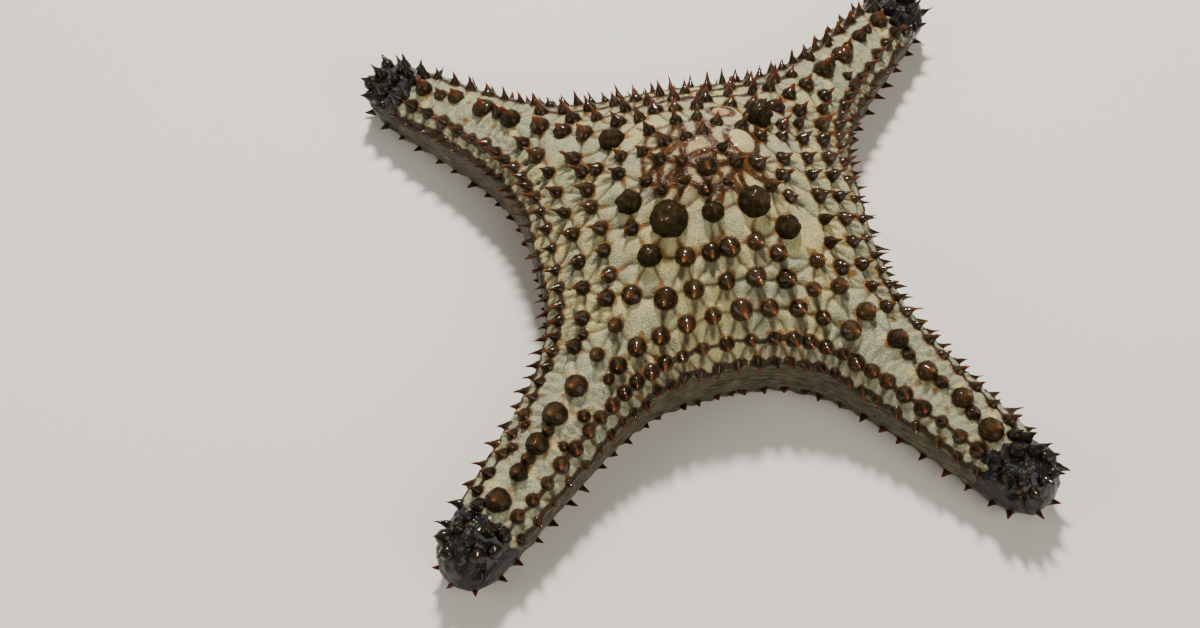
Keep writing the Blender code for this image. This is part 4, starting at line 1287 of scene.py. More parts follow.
class Value:
    """A number that a tree's nodes work out, for use in Python sums."""

    def __init__(self, tree, socket):
        self.tree = tree
        self.socket = socket

    def sum(self, operation, *values):
        node = self.tree.node("ShaderNodeMath", {"operation": operation}, *values)
        return Value(self.tree, node.outputs[0])

    def __add__(self, other):
        return self.sum("ADD", self, other)

    def __mul__(self, other):
        return self.sum("MULTIPLY", self, other)

    def __sub__(self, other):
        return self.sum("SUBTRACT", self, other)

    def __rsub__(self, other):
        return self.sum("SUBTRACT", other, self)

    def __pow__(self, power):
        return self.sum("POWER", self, power)

    def __rtruediv__(self, other):
        return self.sum("DIVIDE", other, self)

    __radd__ = __add__
    __rmul__ = __mul__

    def most(self, other):
        return self.sum("MAXIMUM", self, other)

    def over(self, low, high):
        """0 below low, 1 above high, and smooth between them."""
        ranges = {"interpolation_type": "SMOOTHSTEP"}
        node = self.tree.node("ShaderNodeMapRange", ranges, self, low, high, 0.0, 1.0)
        return Value(self.tree, node.outputs[0])


class Nodes:
    """A node tree, and one short way to add its nodes."""

    def __init__(self, tree):
        self.nodes = tree.nodes
        self.links = tree.links

    def feed(self, socket, value):
        """Links a value or a socket to this socket, or sets a plain value on it. None leaves it alone."""
        if isinstance(value, Value):
            value = value.socket
        if isinstance(value, bpy.types.NodeSocket):
            self.links.new(value, socket)
        elif value is not None:
            socket.default_value = (*value, 1.0) if socket.type == "RGBA" else value

    def node(self, kind, settings=None, *inputs, **named):
        """Adds a node, then its settings, then the values or links of its sockets, by number or by name."""
        made = self.nodes.new(kind)
        for key, value in (settings or {}).items():
            setattr(made, key, value)
        for key, value in [*enumerate(inputs), *named.items()]:
            self.feed(made.inputs[key], value)
        return made


class Finish(Nodes):
    """One material, and its nodes."""

    def __init__(self, name, shader_values):
        self.material = bpy.data.materials.new(name)
        self.material.use_nodes = True
        super().__init__(self.material.node_tree)
        self.shader = self.nodes["Principled BSDF"]
        for key, value in shader_values.items():
            self.shader.inputs[key].default_value = value
        self.place = self.node("ShaderNodeTexCoord").outputs["Object"]

    def attribute(self, name):
        return Value(self, self.node("ShaderNodeAttribute", {"attribute_name": name}).outputs["Fac"])

    def noise(self, size, detail=2.0, place=None):
        sockets = {"Vector": place or self.place, "Scale": 1 / size, "Detail": detail}
        return Value(self, self.node("ShaderNodeTexNoise", {}, **sockets).outputs["Fac"])

    def grains(self, size):
        """The distance from the nearest of many scattered points."""
        node = self.node("ShaderNodeTexVoronoi", {}, Vector=self.place, Scale=1 / size)
        return Value(self, node.outputs["Distance"])

    def stretched(self, scale):
        """Object coordinates stretched by a scale in each direction."""
        return self.node("ShaderNodeMapping", {}, Vector=self.place, Scale=scale).outputs[0]

    def mix(self, share, first, second):
        """Goes from the first colour to the second as share goes from 0 to 1."""
        node = self.node("ShaderNodeMix", {"data_type": "RGBA"})
        for number, value in ((0, share), (6, first), (7, second)):
            self.feed(node.inputs[number], value)
        return node.outputs[2]

    def layers(self, colour, *over):
        """Lays (share, colour) pairs over a colour, one after the other."""
        for share, shade in over:
            colour = self.mix(share, colour, shade)
        return colour

    def paint(self, colour, roughness=None, coat=None, bumps=()):
        """Links what varies to the shader. bumps are (height, distance) pairs."""
        normal = None
        for height, distance in bumps:
            sockets = {"Distance": distance, "Height": height, "Normal": normal}
            normal = self.node("ShaderNodeBump", {}, Strength=1.0, **sockets).outputs[0]
        varying = {"Base Color": colour, "Roughness": roughness, "Coat Weight": coat, "Normal": normal}
        for key, value in varying.items():
            self.feed(self.shader.inputs[key], value)
        return self.material


def skin_finish():
    """Granular olive-grey pads with dark seams, orange halos, black arm tips and a paler underside."""
    tint = colours()
    finish = Finish("sea_star_skin", {"Roughness": 0.5, "Coat Roughness": 0.07, "Specular IOR Level": 0.22})
    mask = {name: finish.attribute(name) for name in Relief.NAMES}
    broad = finish.noise(22 * MM, 3.0)
    patch = finish.noise(6 * MM, 3.0)
    fine = finish.noise(0.75 * MM, 2.0)
    grain = finish.grains(0.62 * MM)
    streaks = finish.noise(1.1 * MM, 4.0, finish.stretched((0.3, 0.3, 2.4)))

    warm = (broad * 0.6 + patch * 0.4 - mask["arm"] * 0.25).over(0.4, 0.62)
    seam = mask["seam"] * (1 - mask["arm"] * 0.45) + fine * 0.3 - 0.1
    freckles = (patch * 0.5 + fine * 0.5).over(0.46, 0.56) * mask["centre"].most(mask["spot"])
    halo = mask["halo"] * (1 - mask["arm"] * 0.3) + fine * 0.3 - 0.15
    network = finish.mix(finish.noise(2.2 * MM, 3.0).over(0.42, 0.62), tint.centre, tint.centre_light)
    # The side band, darker than the pads, with painted shade in the furrows of its streaks and painted light
    # on their ridges
    band = finish.layers(
        tint.wall_dark,
        ((streaks * 0.7 + patch * 0.3).over(0.4, 0.6), tint.wall),
        (streaks.over(0.58, 0.7) * 0.6, tint.wall_light),
    )
    plate = finish.layers(
        tint.under,
        (patch.over(0.35, 0.65), tint.under_shade),
        (mask["plate"].over(0.2, 0.8) * 0.65, tint.under_furrow),
        (grain.over(0.3, 0.7) * 0.3, tint.under_grain),
    )
    dark = finish.layers(
        tint.tip,
        (finish.noise(1.3 * MM, 3.0).over(0.5, 0.7), tint.tip_sheen),
        ((patch + fine * 0.3).over(0.84, 0.9) * 0.7, tint.halo),
    )
    colour = finish.layers(
        tint.pad_cool,
        (warm, tint.pad_warm),
        (fine.over(0.4, 0.72) * 0.5, tint.pad_speck),
        (seam.over(0.22, 1.0) * 0.88, tint.seam),
        ((mask["spot"] + fine * 0.25).over(0.35, 0.7) * 0.9, tint.spot),
        (mask["centre"] * (0.3 + fine * 0.5), tint.cream),
        (freckles * 0.75, tint.freckle),
        (grain.over(0.3, 0.8) * 0.4, tint.seam),
        # Painted shadow below each tubercle, laid over a shallow groove
        ((mask["crease"] + fine * 0.15).over(0.06, 0.85) * 0.85, tint.crease),
        (halo.over(0.12, 0.6) * 0.88, tint.halo),
        ((mask["web"] + patch * 0.4).over(0.38, 0.9), network),
        (mask["wall"] * 0.95, band),
        ((mask["chain"] + fine * 0.3).over(0.4, 0.8), tint.chain),
        ((mask["foot"] + fine * 0.2).over(0.45, 1.0) * 0.9, tint.knob_light),
        (mask["under"], plate),
        ((mask["tip"] + (patch - 0.5) * 0.5).over(0.3, 0.6), dark),
    )

    wet = (mask["chain"].over(0.3, 0.8) * 0.12).most(mask["tip"] * 0.5)
    wet = wet.most(mask["web"]).most(mask["centre"] * 0.4)
    rough = 0.58 - wet * 0.38 + (patch - 0.5) * 0.12
    granules = (1 - grain.over(0.0, 0.75)) * (1 - mask["tip"] * 0.7) * (1 - mask["chain"] * 0.8)
    granules = granules * (1 - mask["web"] * 0.8)
    knots = finish.noise(1.5 * MM, 3.0) * mask["web"].most(mask["tip"])
    bumps = ((granules, 0.16 * MM), (fine, 0.09 * MM), (knots, 0.6 * MM), (streaks * mask["wall"], 1.3 * MM))
    return finish.paint(colour, rough, wet * 0.7, bumps)


def tubercle_finish(name):
    """Glossy brown-black with a brown or red horny point, with a painted highlight on its very end, and
    duller where the form is broad and old.
    """
    tint = colours()
    warm = {"Specular IOR Level": 0.16, "Specular Tint": (1.0, 0.72, 0.4, 1.0)}
    finish = Finish(name, {"Roughness": 0.45, "Coat Roughness": 0.07, **warm})
    rise, tone, dark, matt, red = (finish.attribute(key) for key in ("rise", "tone", "dark", "matt", "red"))
    patch = finish.noise(1.7 * MM, 3.0)
    fine = finish.noise(0.45 * MM, 2.0)
    foot = (1 - rise.over(0.22, 0.34)) * (1 - dark)
    point = (rise + (patch - 0.5) * 0.16 + (tone - 0.5) * 0.1).over(0.6, 0.82) * (1 - dark * 0.95)
    # A painted highlight on the very end of the point, fainter on dark and red points
    highlight = (rise + tone * 0.1).over(0.88, 1.05) * (1 - dark * 0.9) * (1 - red * 0.6)
    colour = finish.layers(
        tint.knob,
        ((patch + tone * 0.2).over(0.5, 0.76) * 0.8, tint.knob_light),
        (matt, finish.mix(patch.over(0.42, 0.68), tint.old_knob, tint.old_knob_light)),
        ((foot + fine * 0.25 - 0.1).over(0.2, 0.9) * 0.8, tint.knob_light),
        (point * 0.9, finish.mix(red, tint.knob_nose, tint.knob_tip)),
        (highlight * 0.4, tint.horn),
        ((dark - matt).over(0.2, 0.9) * 0.88, tint.tip),
    )
    rough = 0.38 + patch * 0.2 + fine * 0.1 + matt * 0.15 + point * 0.1
    coat = (0.25 + tone * 0.35) * (1 - point * 0.6) * (1 - matt * 0.85)
    return finish.paint(colour, rough, coat, ((patch, 0.35 * MM), (fine, 0.09 * MM)))


def pale_finish(name, low, high, roughness, grain_size):
    """A matt, finely grained finish that goes from one colour at the root to another at the end."""
    finish = Finish(name, {"Roughness": roughness})
    rise, tone = finish.attribute("rise"), finish.attribute("tone")
    fine = finish.noise(grain_size, 3.0)
    shade = tuple(0.5 * part for part in low)
    along = (rise + (tone - 0.5) * 0.3).over(0.15, 0.95)
    colour = finish.layers(low, (along, high), (fine.over(0.45, 0.75) * 0.35, shade))
    return finish.paint(colour, roughness + (fine - 0.5) * 0.2, bumps=((fine, 0.12 * MM),))


class Tree(Nodes):
    """A Geometry Nodes tree with named inputs."""

    def __init__(self, name, inputs):
        self.group = bpy.data.node_groups.new(name, "GeometryNodeTree")
        super().__init__(self.group)
        interface = self.group.interface
        interface.new_socket("Geometry", in_out="INPUT", socket_type="NodeSocketGeometry")
        self.keys = {}
        for label, (kind, value) in inputs.items():
            socket = interface.new_socket(label, in_out="INPUT", socket_type="NodeSocket" + kind)
            if value is not None:
                socket.default_value = value
            self.keys[label] = socket.identifier
        interface.new_socket("Geometry", in_out="OUTPUT", socket_type="NodeSocketGeometry")
        self.inputs = self.nodes.new("NodeGroupInput").outputs
        self.output = self.nodes.new("NodeGroupOutput").inputs[0]

    def made(self, kind, settings=None, *inputs, **named):
        """The first output of a new node."""
        return self.node(kind, settings, *inputs, **named).outputs[0]

    def read(self, name, data_type):
        return self.made("GeometryNodeInputNamedAttribute", {"data_type": data_type}, Name=name)


def peg_tree(name, profile, sides, rings):
    """Sets a turned form on every point: up and out turn it, width and length scale it, root sinks it.

    profile is a list of (rise, radius) points from the sunk root at 0 to the point at 1, and the bend
    moves the upper part outwards."""
    inputs = {
        "Sides": ("Int", sides),
        "Rings": ("Int", rings),
        "Root": ("Float", 0.3),
        "Bend": ("Float", 0.2),
        "Roll": ("Float", 0.3),
        "Lumps": ("Float", 0.0),
        "Lump size": ("Float", 2.2 * MM),
        "Seed": ("Int", 1),
        "Finish": ("Material", None),
    }
    tree = Tree(name, inputs)
    use = tree.inputs
    root, bend, roll, lumps, lump_size = (
        Value(tree, use[label]) for label in ("Root", "Bend", "Roll", "Lumps", "Lump size")
    )
    tube = {"fill_type": "NGON"}
    tube = tree.made("GeometryNodeMeshCylinder", tube, use["Sides"], use["Rings"], Radius=1.0, Depth=1.0)
    place = tree.node("ShaderNodeSeparateXYZ", {}, tree.made("GeometryNodeInputPosition")).outputs
    x, y, z = (Value(tree, socket) for socket in place)
    rise = z + 0.5
    curve = tree.node("ShaderNodeFloatCurve", {}, Value=rise)
    points = curve.mapping.curves[0].points
    for at, radius in profile[1:-1]:
        points.new(at, radius)
    points[0].location, points[-1].location = profile[0], profile[-1]
    curve.mapping.update()
    wide = Value(tree, curve.outputs[0])
    bent = x * wide + rise**3.0 * bend
    form = tree.made("ShaderNodeCombineXYZ", {}, bent, y * wide, rise * (root + 1.0) - root)
    kept = {"data_type": "FLOAT", "domain": "POINT"}
    kept = tree.made("GeometryNodeStoreNamedAttribute", kept, Geometry=tube, Name="rise", Value=rise)
    formed = tree.made("GeometryNodeSetPosition", {}, Geometry=kept, Position=form)

    axes = {"primary_axis": "Z", "secondary_axis": "X"}
    up, out = tree.read("up", "FLOAT_VECTOR"), tree.read("out", "FLOAT_VECTOR")
    turned = tree.made("FunctionNodeAxesToRotation", axes, up, out)
    range_node = {"data_type": "FLOAT"}
    angle = tree.node("FunctionNodeRandomValue", range_node, None, None, roll * -1.0, roll, Seed=use["Seed"])
    by = tree.made("FunctionNodeAxisAngleToRotation", {}, Axis=(0.0, 0.0, 1.0), Angle=angle.outputs[1])
    turned = tree.made("FunctionNodeRotateRotation", {"rotation_space": "LOCAL"}, turned, by)
    width = Value(tree, tree.read("width", "FLOAT"))
    radius = width * 0.5
    size = tree.made("ShaderNodeCombineXYZ", {}, radius, radius, tree.read("length", "FLOAT"))
    sockets = {"Points": use["Geometry"], "Instance": formed, "Rotation": turned, "Scale": size}
    placed = tree.made("GeometryNodeInstanceOnPoints", {}, **sockets)
    real = tree.made("GeometryNodeRealizeInstances", {}, placed)

    noise = Value(tree, tree.made("ShaderNodeTexNoise", {}, Scale=1.0 / lump_size, Detail=1.0))
    push = (noise - 0.5) * (lumps * width)
    normal = tree.made("GeometryNodeInputNormal")
    offset = tree.made("ShaderNodeVectorMath", {"operation": "SCALE"}, normal, Scale=push)
    lumpy = tree.made("GeometryNodeSetPosition", {}, Geometry=real, Offset=offset)
    smooth = tree.made("GeometryNodeSetShadeSmooth", {}, Geometry=lumpy)
    coated = tree.made("GeometryNodeSetMaterial", {}, Geometry=smooth, Material=use["Finish"])
    tree.feed(tree.output, coated)
    return tree


def square_to(up, way):
    """Each way, laid square to its up."""
    return unit(way - up * (way * up).sum(1, keepdims=True))


def peg_fields(random, up, out, width, length):
    """The values that place pegs of these sizes, with out laid square to up."""
    tone = random.uniform(0, 1, len(up))
    return {"up": up, "out": square_to(up, out), "width": width, "length": length, "tone": tone}


def grow(name, tree, places, values, material, settings):
    """Runs a peg tree on points and keeps the result as a plain mesh with a bake map."""
    fields = dict(values)
    fields["length"] = fit_in_box(places, fields["up"], fields["length"])
    fields["root"] = places * (1, 1, 0)
    seedlings = new_object(name + "_points", places, [], fields)
    modifier = seedlings.modifiers.new("grow", "NODES")
    modifier.node_group = tree.group
    for label, value in {**settings, "Finish": material}.items():
        modifier[tree.keys[label]] = value
    graph = bpy.context.evaluated_depsgraph_get()
    mesh = bpy.data.meshes.new_from_object(seedlings.evaluated_get(graph), depsgraph=graph)
    seedlings.modifiers.remove(modifier)
    bpy.data.objects.remove(seedlings)
    mesh.name = name
    bake_map(mesh)
    declare(linked(name, mesh), "skin")


def fit_in_box(places, up, length):
    """Shortens what would reach past the sides of the solids' box."""
    tips = places + up * length[:, None] * 1.04 + CENTRE
    low, high = np.array(CAD_BOX)
    over = np.maximum(tips - high, low - tips).clip(0)
    over[:, 2] = (tips - high)[:, 2].clip(0)
    return length - (over / np.maximum(np.abs(up), 0.3)).max(1)


def bake_map(mesh):
    """Lays each tubercle out as a small disc, tip in the middle, at its root's place on the plan."""
    root, up, out = (read_all(mesh.attributes[name].data, "vector", 3) for name in ("root", "up", "out"))
    rise = read_all(mesh.attributes["rise"].data, "value", 1)
    offset = read_all(mesh.vertices, "co", 3) - CENTRE - root
    side = np.cross(up, out)
    angle = np.arctan2((offset * side).sum(1), (offset * out).sum(1))
    radial = np.column_stack([np.cos(angle), np.sin(angle)])
    place = root[:, :2] / BAKE_SPAN + 0.5 + BAKE_RADIUS * (1.02 - rise) * radial
    layer = mesh.uv_layers.new(name="OFBake")
    corners = np.zeros(len(mesh.loops), np.int32)
    mesh.loops.foreach_get("vertex_index", corners)
    layer.data.foreach_set("uv", place[corners].astype(np.float32).ravel())
    for name in ("root", "up", "out", "width", "length"):
        mesh.attributes.remove(mesh.attributes[name])


class Plan:
    """The star, its tubercles and the seams between its pads, worked out once for all the pieces."""

    made = None

    @classmethod
    def get(cls):
        if cls.made is None:
            cls.made = cls()
        return cls.made

    def __init__(self):
        settings = body_settings()
        self.star = Star(settings.mesh_size)
        self.sites = Sites(self.star, tubercle_settings())
        self.seams = lay_seams(self.star, self.sites, settings.mesh_size)


class SEASTAR_OT_skin(bpy.types.Operator):
    """Build the skin over the disc and the arms, with its relief and its colours"""

    bl_idname = "sea_star.skin"
    bl_label = "Skin"

    def execute(self, context):
        plan = Plan.get()
        skin = Skin(plan.star, plan.seams, body_settings())
        relief = Relief(skin, plan.sites, plan.seams, body_settings())
        values = {name: relief.mask[name] for name in Relief.NAMES}
        piece = new_object("skin", skin.points, skin.faces, values)
        mesh = piece.data
        moved = skin.points + read_all(mesh.vertices, "normal", 3) * relief.height[:, None]
        moved[:, 2] = np.maximum(moved[:, 2], 0.02 * MM)
        mesh.vertices.foreach_set("co", (moved + CENTRE).astype(np.float32).ravel())
        mesh.materials.append(skin_finish())
        shade_smooth(piece)
        declare(piece, "skin", *FLESH_NODES)
        return {"FINISHED"}


class SEASTAR_OT_tubercles(bpy.types.Operator):
    """Grow the upper side's tubercles, from the sharp ones at the margin to the large ones of the disc"""

    bl_idname = "sea_star.tubercles"
    bl_label = "Tubercles"

    # For each kind its profile's rises and radii, then its sides, rings, root, bend and redness
    FORMS = {
        "margin": (
            (0, 0.2, 0.33, 0.5, 0.67, 0.84, 1),
            (1.0, 1.0, 0.8, 0.45, 0.27, 0.15, 0.02),
            (8, 6, 0.3, 0.5, 1.0),
        ),
        "chain": (
            (0, 0.2, 0.34, 0.5, 0.67, 0.84, 1),
            (1.0, 1.0, 0.92, 0.62, 0.31, 0.18, 0.03),
            (9, 6, 0.3, 0.5, 0.7),
        ),
        "dome": (
            (0, 0.22, 0.43, 0.57, 0.66, 0.75, 0.88, 1),
            (0.95, 1.0, 0.93, 0.68, 0.36, 0.27, 0.17, 0.05),
            (10, 8, 0.3, 0.5, 0.15),
        ),
        "carinal": (
            (0, 0.25, 0.46, 0.6, 0.7, 0.78, 0.9, 1),
            (0.95, 1.0, 0.96, 0.78, 0.46, 0.31, 0.19, 0.05),
            (11, 9, 0.3, 0.4, 0.0),
        ),
        "primary": (
            (0, 0.25, 0.52, 0.7, 0.82, 0.9, 0.96, 1),
            (0.9, 1.0, 0.96, 0.78, 0.5, 0.24, 0.12, 0.04),
            (22, 14, 0.25, 0.2, 0.0),
        ),
    }

    def execute(self, context):
        plan = Plan.get()
        finish = tubercle_finish("sea_star_tubercles")
        for kind, (rises, radii, (sides, rings, root, bend, red)) in self.FORMS.items():
            chosen = plan.sites.kind == kind
            if not chosen.any():
                raise RuntimeError(f"no {kind} tubercles were placed")
            places, values = self.fields(plan, kind, chosen, red)
            tree = peg_tree("grow_" + kind, [*zip(rises, radii)], sides, rings)
            settings = {"Root": root, "Bend": bend, "Lumps": 0.3 if kind == "primary" else 0.24}
            grow(kind + "_tubercles", tree, places, values, finish, settings)
        return {"FINISHED"}

    def fields(self, plan, kind, chosen, red):
        """The places of one kind's tubercles, and the values that lean, form and colour them."""
        sites = plan.sites
        places, up = sites.place[chosen], sites.up[chosen]
        out = square_to(up, np.column_stack([unit(places[:, :2]), np.zeros(len(places))]))
        up = unit(up + 0.3 * out * (0.4 + (1 - up[:, 2:])))
        s = plan.star.ridge(places[:, :2])[1]
        matt = {"primary": 1.0, "carinal": 0.35 * ramp(s, 0.4, 0.2)}.get(kind, 0.0)
        matt = matt * np.ones(len(s))
        values = {
            "up": up,
            "out": square_to(up, out),
            "width": sites.width[chosen],
            "length": sites.length[chosen],
            "tone": sites.tone[chosen],
            "dark": np.maximum(ramp(s, 0.8, 0.08) * 0.9, matt),
            "matt": matt,
            "red": np.maximum(red, 0.8 * ramp(places[:, 1], 5 * MM, 35 * MM)),
        }
        return places, values


class SEASTAR_OT_lower_spines(bpy.types.Operator):
    """Grow the spines along the lower edge of the side wall"""

    bl_idname = "sea_star.lower_spines"
    bl_label = "Lower Spines"

    PROFILE = ((0, 0.9), (0.25, 1.0), (0.45, 0.7), (0.7, 0.42), (0.88, 0.22), (1, 0.03))

    def execute(self, context):
        plan = Plan.get()
        ring = plan.star.outline
        random = random_of(2)
        walls = wall_points(plan.star, LOWER_SPINE_DOWN)
        teeth = teeth_of(ring)
        at = np.searchsorted(teeth, np.arange(0.5, teeth[-1]))
        at = (at + random.integers(-1, 2, len(at))) % len(ring.s)
        count = len(at)
        out = np.column_stack([ring.out[at], np.zeros(count)])
        up = unit(out + (0, 0, 1) * random.uniform(0.05, 0.35, (count, 1)))
        side = unit(np.cross(out, (0, 0, 1.0)))
        width = 3.0 * MM * random.uniform(0.8, 1.15, count)
        length = (2.9 + 1.3 * ramp(ring.s[at], 0.4, 0.3)) * MM * random.uniform(0.8, 1.1, count)
        values = peg_fields(random, up, np.cross(side, up), width, length)
        values |= {"dark": np.zeros(count), "matt": np.zeros(count), "red": np.ones(count)}
        tree = peg_tree("grow_lower", self.PROFILE, 9, 6)
        finish = tubercle_finish("sea_star_lower_spines")
        grow("lower_spines", tree, walls[at] - out * 0.3 * MM, values, finish, {"Root": 0.35, "Bend": 0.3})
        return {"FINISHED"}


class SEASTAR_OT_underside(bpy.types.Operator):
    """Grow the granules of the oral plates, the blunt spines along the grooves and the tube feet in them"""

    bl_idname = "sea_star.underside"
    bl_label = "Underside"

    GRANULE = ((0, 1.0), (0.3, 1.0), (0.6, 0.86), (0.85, 0.5), (1, 0.1))
    SPINE = ((0, 0.85), (0.3, 0.8), (0.6, 0.9), (0.85, 0.95), (0.96, 0.6), (1, 0.1))
    FOOT = ((0, 0.6), (0.3, 0.55), (0.55, 0.62), (0.78, 0.55), (0.84, 0.95), (0.95, 1.0), (1, 0.25))

    def execute(self, context):
        star = Plan.get().star
        self.granules(star)
        self.groove_spines(star)
        self.tube_feet(star)
        return {"FINISHED"}

    def granules(self, star):
        spacing = tubercle_settings().granule_spacing
        random = random_of(3)
        base = wall_points(star, 1.0)[:, :2]
        field = even_field(base, 1.07 * spacing)
        field = field + random.uniform(-0.33, 0.33, field.shape) * spacing
        keep = distance_to_ring(field, base) > 1.5 * MM
        keep &= star.ridge(field)[0] > GROOVE_HALF_WIDTH + 1.0 * MM
        keep &= norm(field) > MOUTH_RADIUS + 1.5 * MM
        keep &= plate_edge(field) > 0.55 * MM
        field = field[keep]
        height = star.under_height(field, distance_to_ring(field, base)) + 0.58 * MM
        count = len(field)
        width, length = random.uniform(1.0, 1.7, count) * MM, random.uniform(0.42, 0.56, count) * MM
        down, aside = (np.tile(way, (count, 1)) for way in ((0.0, 0.0, -1.0), (1.0, 0.0, 0.0)))
        values = peg_fields(random, down, aside, width, length)
        tree = peg_tree("grow_granules", self.GRANULE, 7, 3)
        finish = pale_finish("sea_star_granules", (0.3, 0.25, 0.17), (0.52, 0.46, 0.34), 0.55, 0.4 * MM)
        settings = {"Root": 0.9, "Bend": 0.0}
        grow("oral_granules", tree, np.column_stack([field, height]), values, finish, settings)

    def groove_sides(self, star, spacing, first, last):
        """Stations on both sides of each arm's groove: arm, s, the way to that side, the base's lift."""
        for arm in star.arms:
            for k in range(round((last * arm.reach - first) / spacing)):
                s = (first + (k + 0.5) * spacing) / arm.reach
                for side in (-1, 1):
                    yield arm, s, arm.normal(s) * side, float(base_height(s)) - BASE_EDGE_HEIGHT

    def groove_spines(self, star):
        random = random_of(4)
        places, ups, outs, lengths = [], [], [], []
        for arm, s, normal, lift in self.groove_sides(star, tubercle_settings().comb_spacing, 8.5 * MM, 0.93):
            length = random.uniform(2.4, 2.9) * MM * (1 - 0.3 * s)
            up = unit(np.array([*(-normal * random.uniform(0.5, 0.8)), -1.0]))
            plan = arm.centre(s) + normal * (GROOVE_HALF_WIDTH - 0.35 * MM)
            places.append((*plan, lift - up[2] * length + 0.15 * MM))
            ups.append(up)
            outs.append((*arm.tangent(s), 0.0))
            lengths.append(length)
        width = random.uniform(1.0, 1.35, len(places)) * MM
        values = peg_fields(random, np.array(ups), np.array(outs), width, np.array(lengths))
        tree = peg_tree("grow_combs", self.SPINE, 8, 5)
        finish = pale_finish("sea_star_groove_spines", (0.34, 0.24, 0.15), (0.6, 0.5, 0.34), 0.5, 0.5 * MM)
        grow("groove_spines", tree, np.array(places), values, finish, {"Root": 0.4, "Bend": 0.0})

    def tube_feet(self, star):
        random = random_of(5)
        places, ups, lengths = [], [], []
        for arm, s, normal, lift in self.groove_sides(star, tubercle_settings().foot_spacing, 10 * MM, 0.89):
            along = arm.tangent(s) * random.uniform(-0.6, 0.6) * MM
            plan = arm.centre(s) + normal * 1.15 * MM + along
            depth = GROOVE_DEPTH_AT_MOUTH + (GROOVE_DEPTH_AT_TIP - GROOVE_DEPTH_AT_MOUTH) * s
            lengths.append(random.uniform(0.55, 0.9) * depth)
            ups.append(unit(np.array([*(normal * random.uniform(-0.1, 0.2)), -1.0])))
            places.append((*plan, lift + depth - 0.2 * MM))
        width = random.uniform(1.7, 2.1, len(places)) * MM
        outs = np.tile((1.0, 0.0, 0.0), (len(places), 1))
        values = peg_fields(random, np.array(ups), outs, width, np.array(lengths))
        tree = peg_tree("grow_feet", self.FOOT, 10, 10)
        finish = pale_finish("sea_star_tube_feet", (0.62, 0.5, 0.3), (0.74, 0.62, 0.42), 0.35, 0.6 * MM)
        grow("tube_feet", tree, np.array(places), values, finish, {"Root": 0.25, "Bend": 0.0})


class SEASTAR_OT_sieve_plate(bpy.types.Operator):
    """Build the sieve plate with its branching furrows"""

    bl_idname = "sea_star.sieve_plate"
    bl_label = "Sieve Plate"

    def execute(self, context):
        star = Plan.get().star
        low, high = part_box("madreporite")
        radius = 0.5 * (high - low)[0]
        plan = plan_of(SIEVE)[None]
        up, place = star.normal(plan)[0], star.on_top(plan)[0]
        side = unit(np.cross(up, (0.0, 1.0, 0.0)))
        flat = np.cos(SPOKES)[:, None] * side + np.sin(SPOKES)[:, None] * np.cross(up, side)
        rings, furrow = [], []
        for share in np.linspace(0, 1, 27)[1:]:
            branches = 7 + 7 * (share > 0.4) + 10 * (share > 0.72)
            cut = 0.5 + 0.5 * np.sin(branches * SPOKES + 2.2 * math.sin(5 * share) + 0.7 * np.sin(3 * SPOKES))
            dome = 1.2 * MM * math.sqrt(max(0.0, 1 - (0.96 * share) ** 2.6))
            drop = 1.3 * MM * ramp(share, 0.9, 0.1)
            height = dome - 0.38 * MM * cut * min(1, 4 * share) - drop
            far = 0.94 * radius * share * (1 + 0.04 * np.sin(4 * SPOKES + 1))
            rings.append(place + far[:, None] * flat + height[:, None] * up)
            furrow.append(cut)
        piece = round_piece("sieve_plate", rings, "furrow", furrow, False)
        finish = Finish("sea_star_sieve_plate", {"Roughness": 0.62})
        cut, grain = finish.attribute("furrow"), finish.grains(0.35 * MM)
        colour = finish.layers(
            (0.5, 0.32, 0.18),
            (cut.over(0.2, 0.8), (0.17, 0.075, 0.03)),
            (grain.over(0.3, 0.8) * 0.3, (0.6, 0.45, 0.28)),
        )
        piece.data.materials.append(finish.paint(colour, 0.6 + cut * 0.15, bumps=((grain, 0.08 * MM),)))
        declare(piece, "sieve_skin", "madreporite")
        return {"FINISHED"}


class SEASTAR_OT_mouth(bpy.types.Operator):
    """Build the folded skin over the mouth"""

    bl_idname = "sea_star.mouth"
    bl_label = "Mouth"

    def execute(self, context):
        low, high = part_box("mouth")
        radius = 0.49 * (high - low)[0]
        rings, folds = [], []
        for share in np.linspace(0, 1, 31)[1:]:
            fold = np.sin(16 * SPOKES + 1.5 * np.sin(4 * SPOKES))
            fold = fold * smooth_step(1.3 - share) * min(1, 3 * share)
            height = low[2] + 0.9 * MM + 0.28 * MM * fold - 0.8 * MM * bell(share - 0.3, 0.14)
            height = height + 1.1 * MM * smooth_step((0.2 - share) / 0.2)
            far = radius * share
            rings.append(np.column_stack([far * np.cos(SPOKES), far * np.sin(SPOKES), height]))
            folds.append(0.5 + 0.5 * fold)
        rings.append(rings[-1] * (1, 1, 0) + (0, 0, high[2]))
        folds.append(np.full(len(SPOKES), 0.5))
        piece = round_piece("mouth_skin", rings, "fold", folds, True)
        finish = Finish("sea_star_mouth", {"Roughness": 0.4})
        fold, patch = finish.attribute("fold"), finish.noise(1.4 * MM, 3.0)
        colour = finish.layers(
            (0.25, 0.14, 0.095),
            (fold.over(0.15, 0.85), (0.52, 0.38, 0.28)),
            (patch.over(0.45, 0.7) * 0.4, (0.36, 0.22, 0.15)),
        )
        piece.data.materials.append(finish.paint(colour, 0.36 + patch * 0.15, bumps=((patch, 0.15 * MM),)))
        declare(piece, "mouth_skin", "mouth")
        return {"FINISHED"}


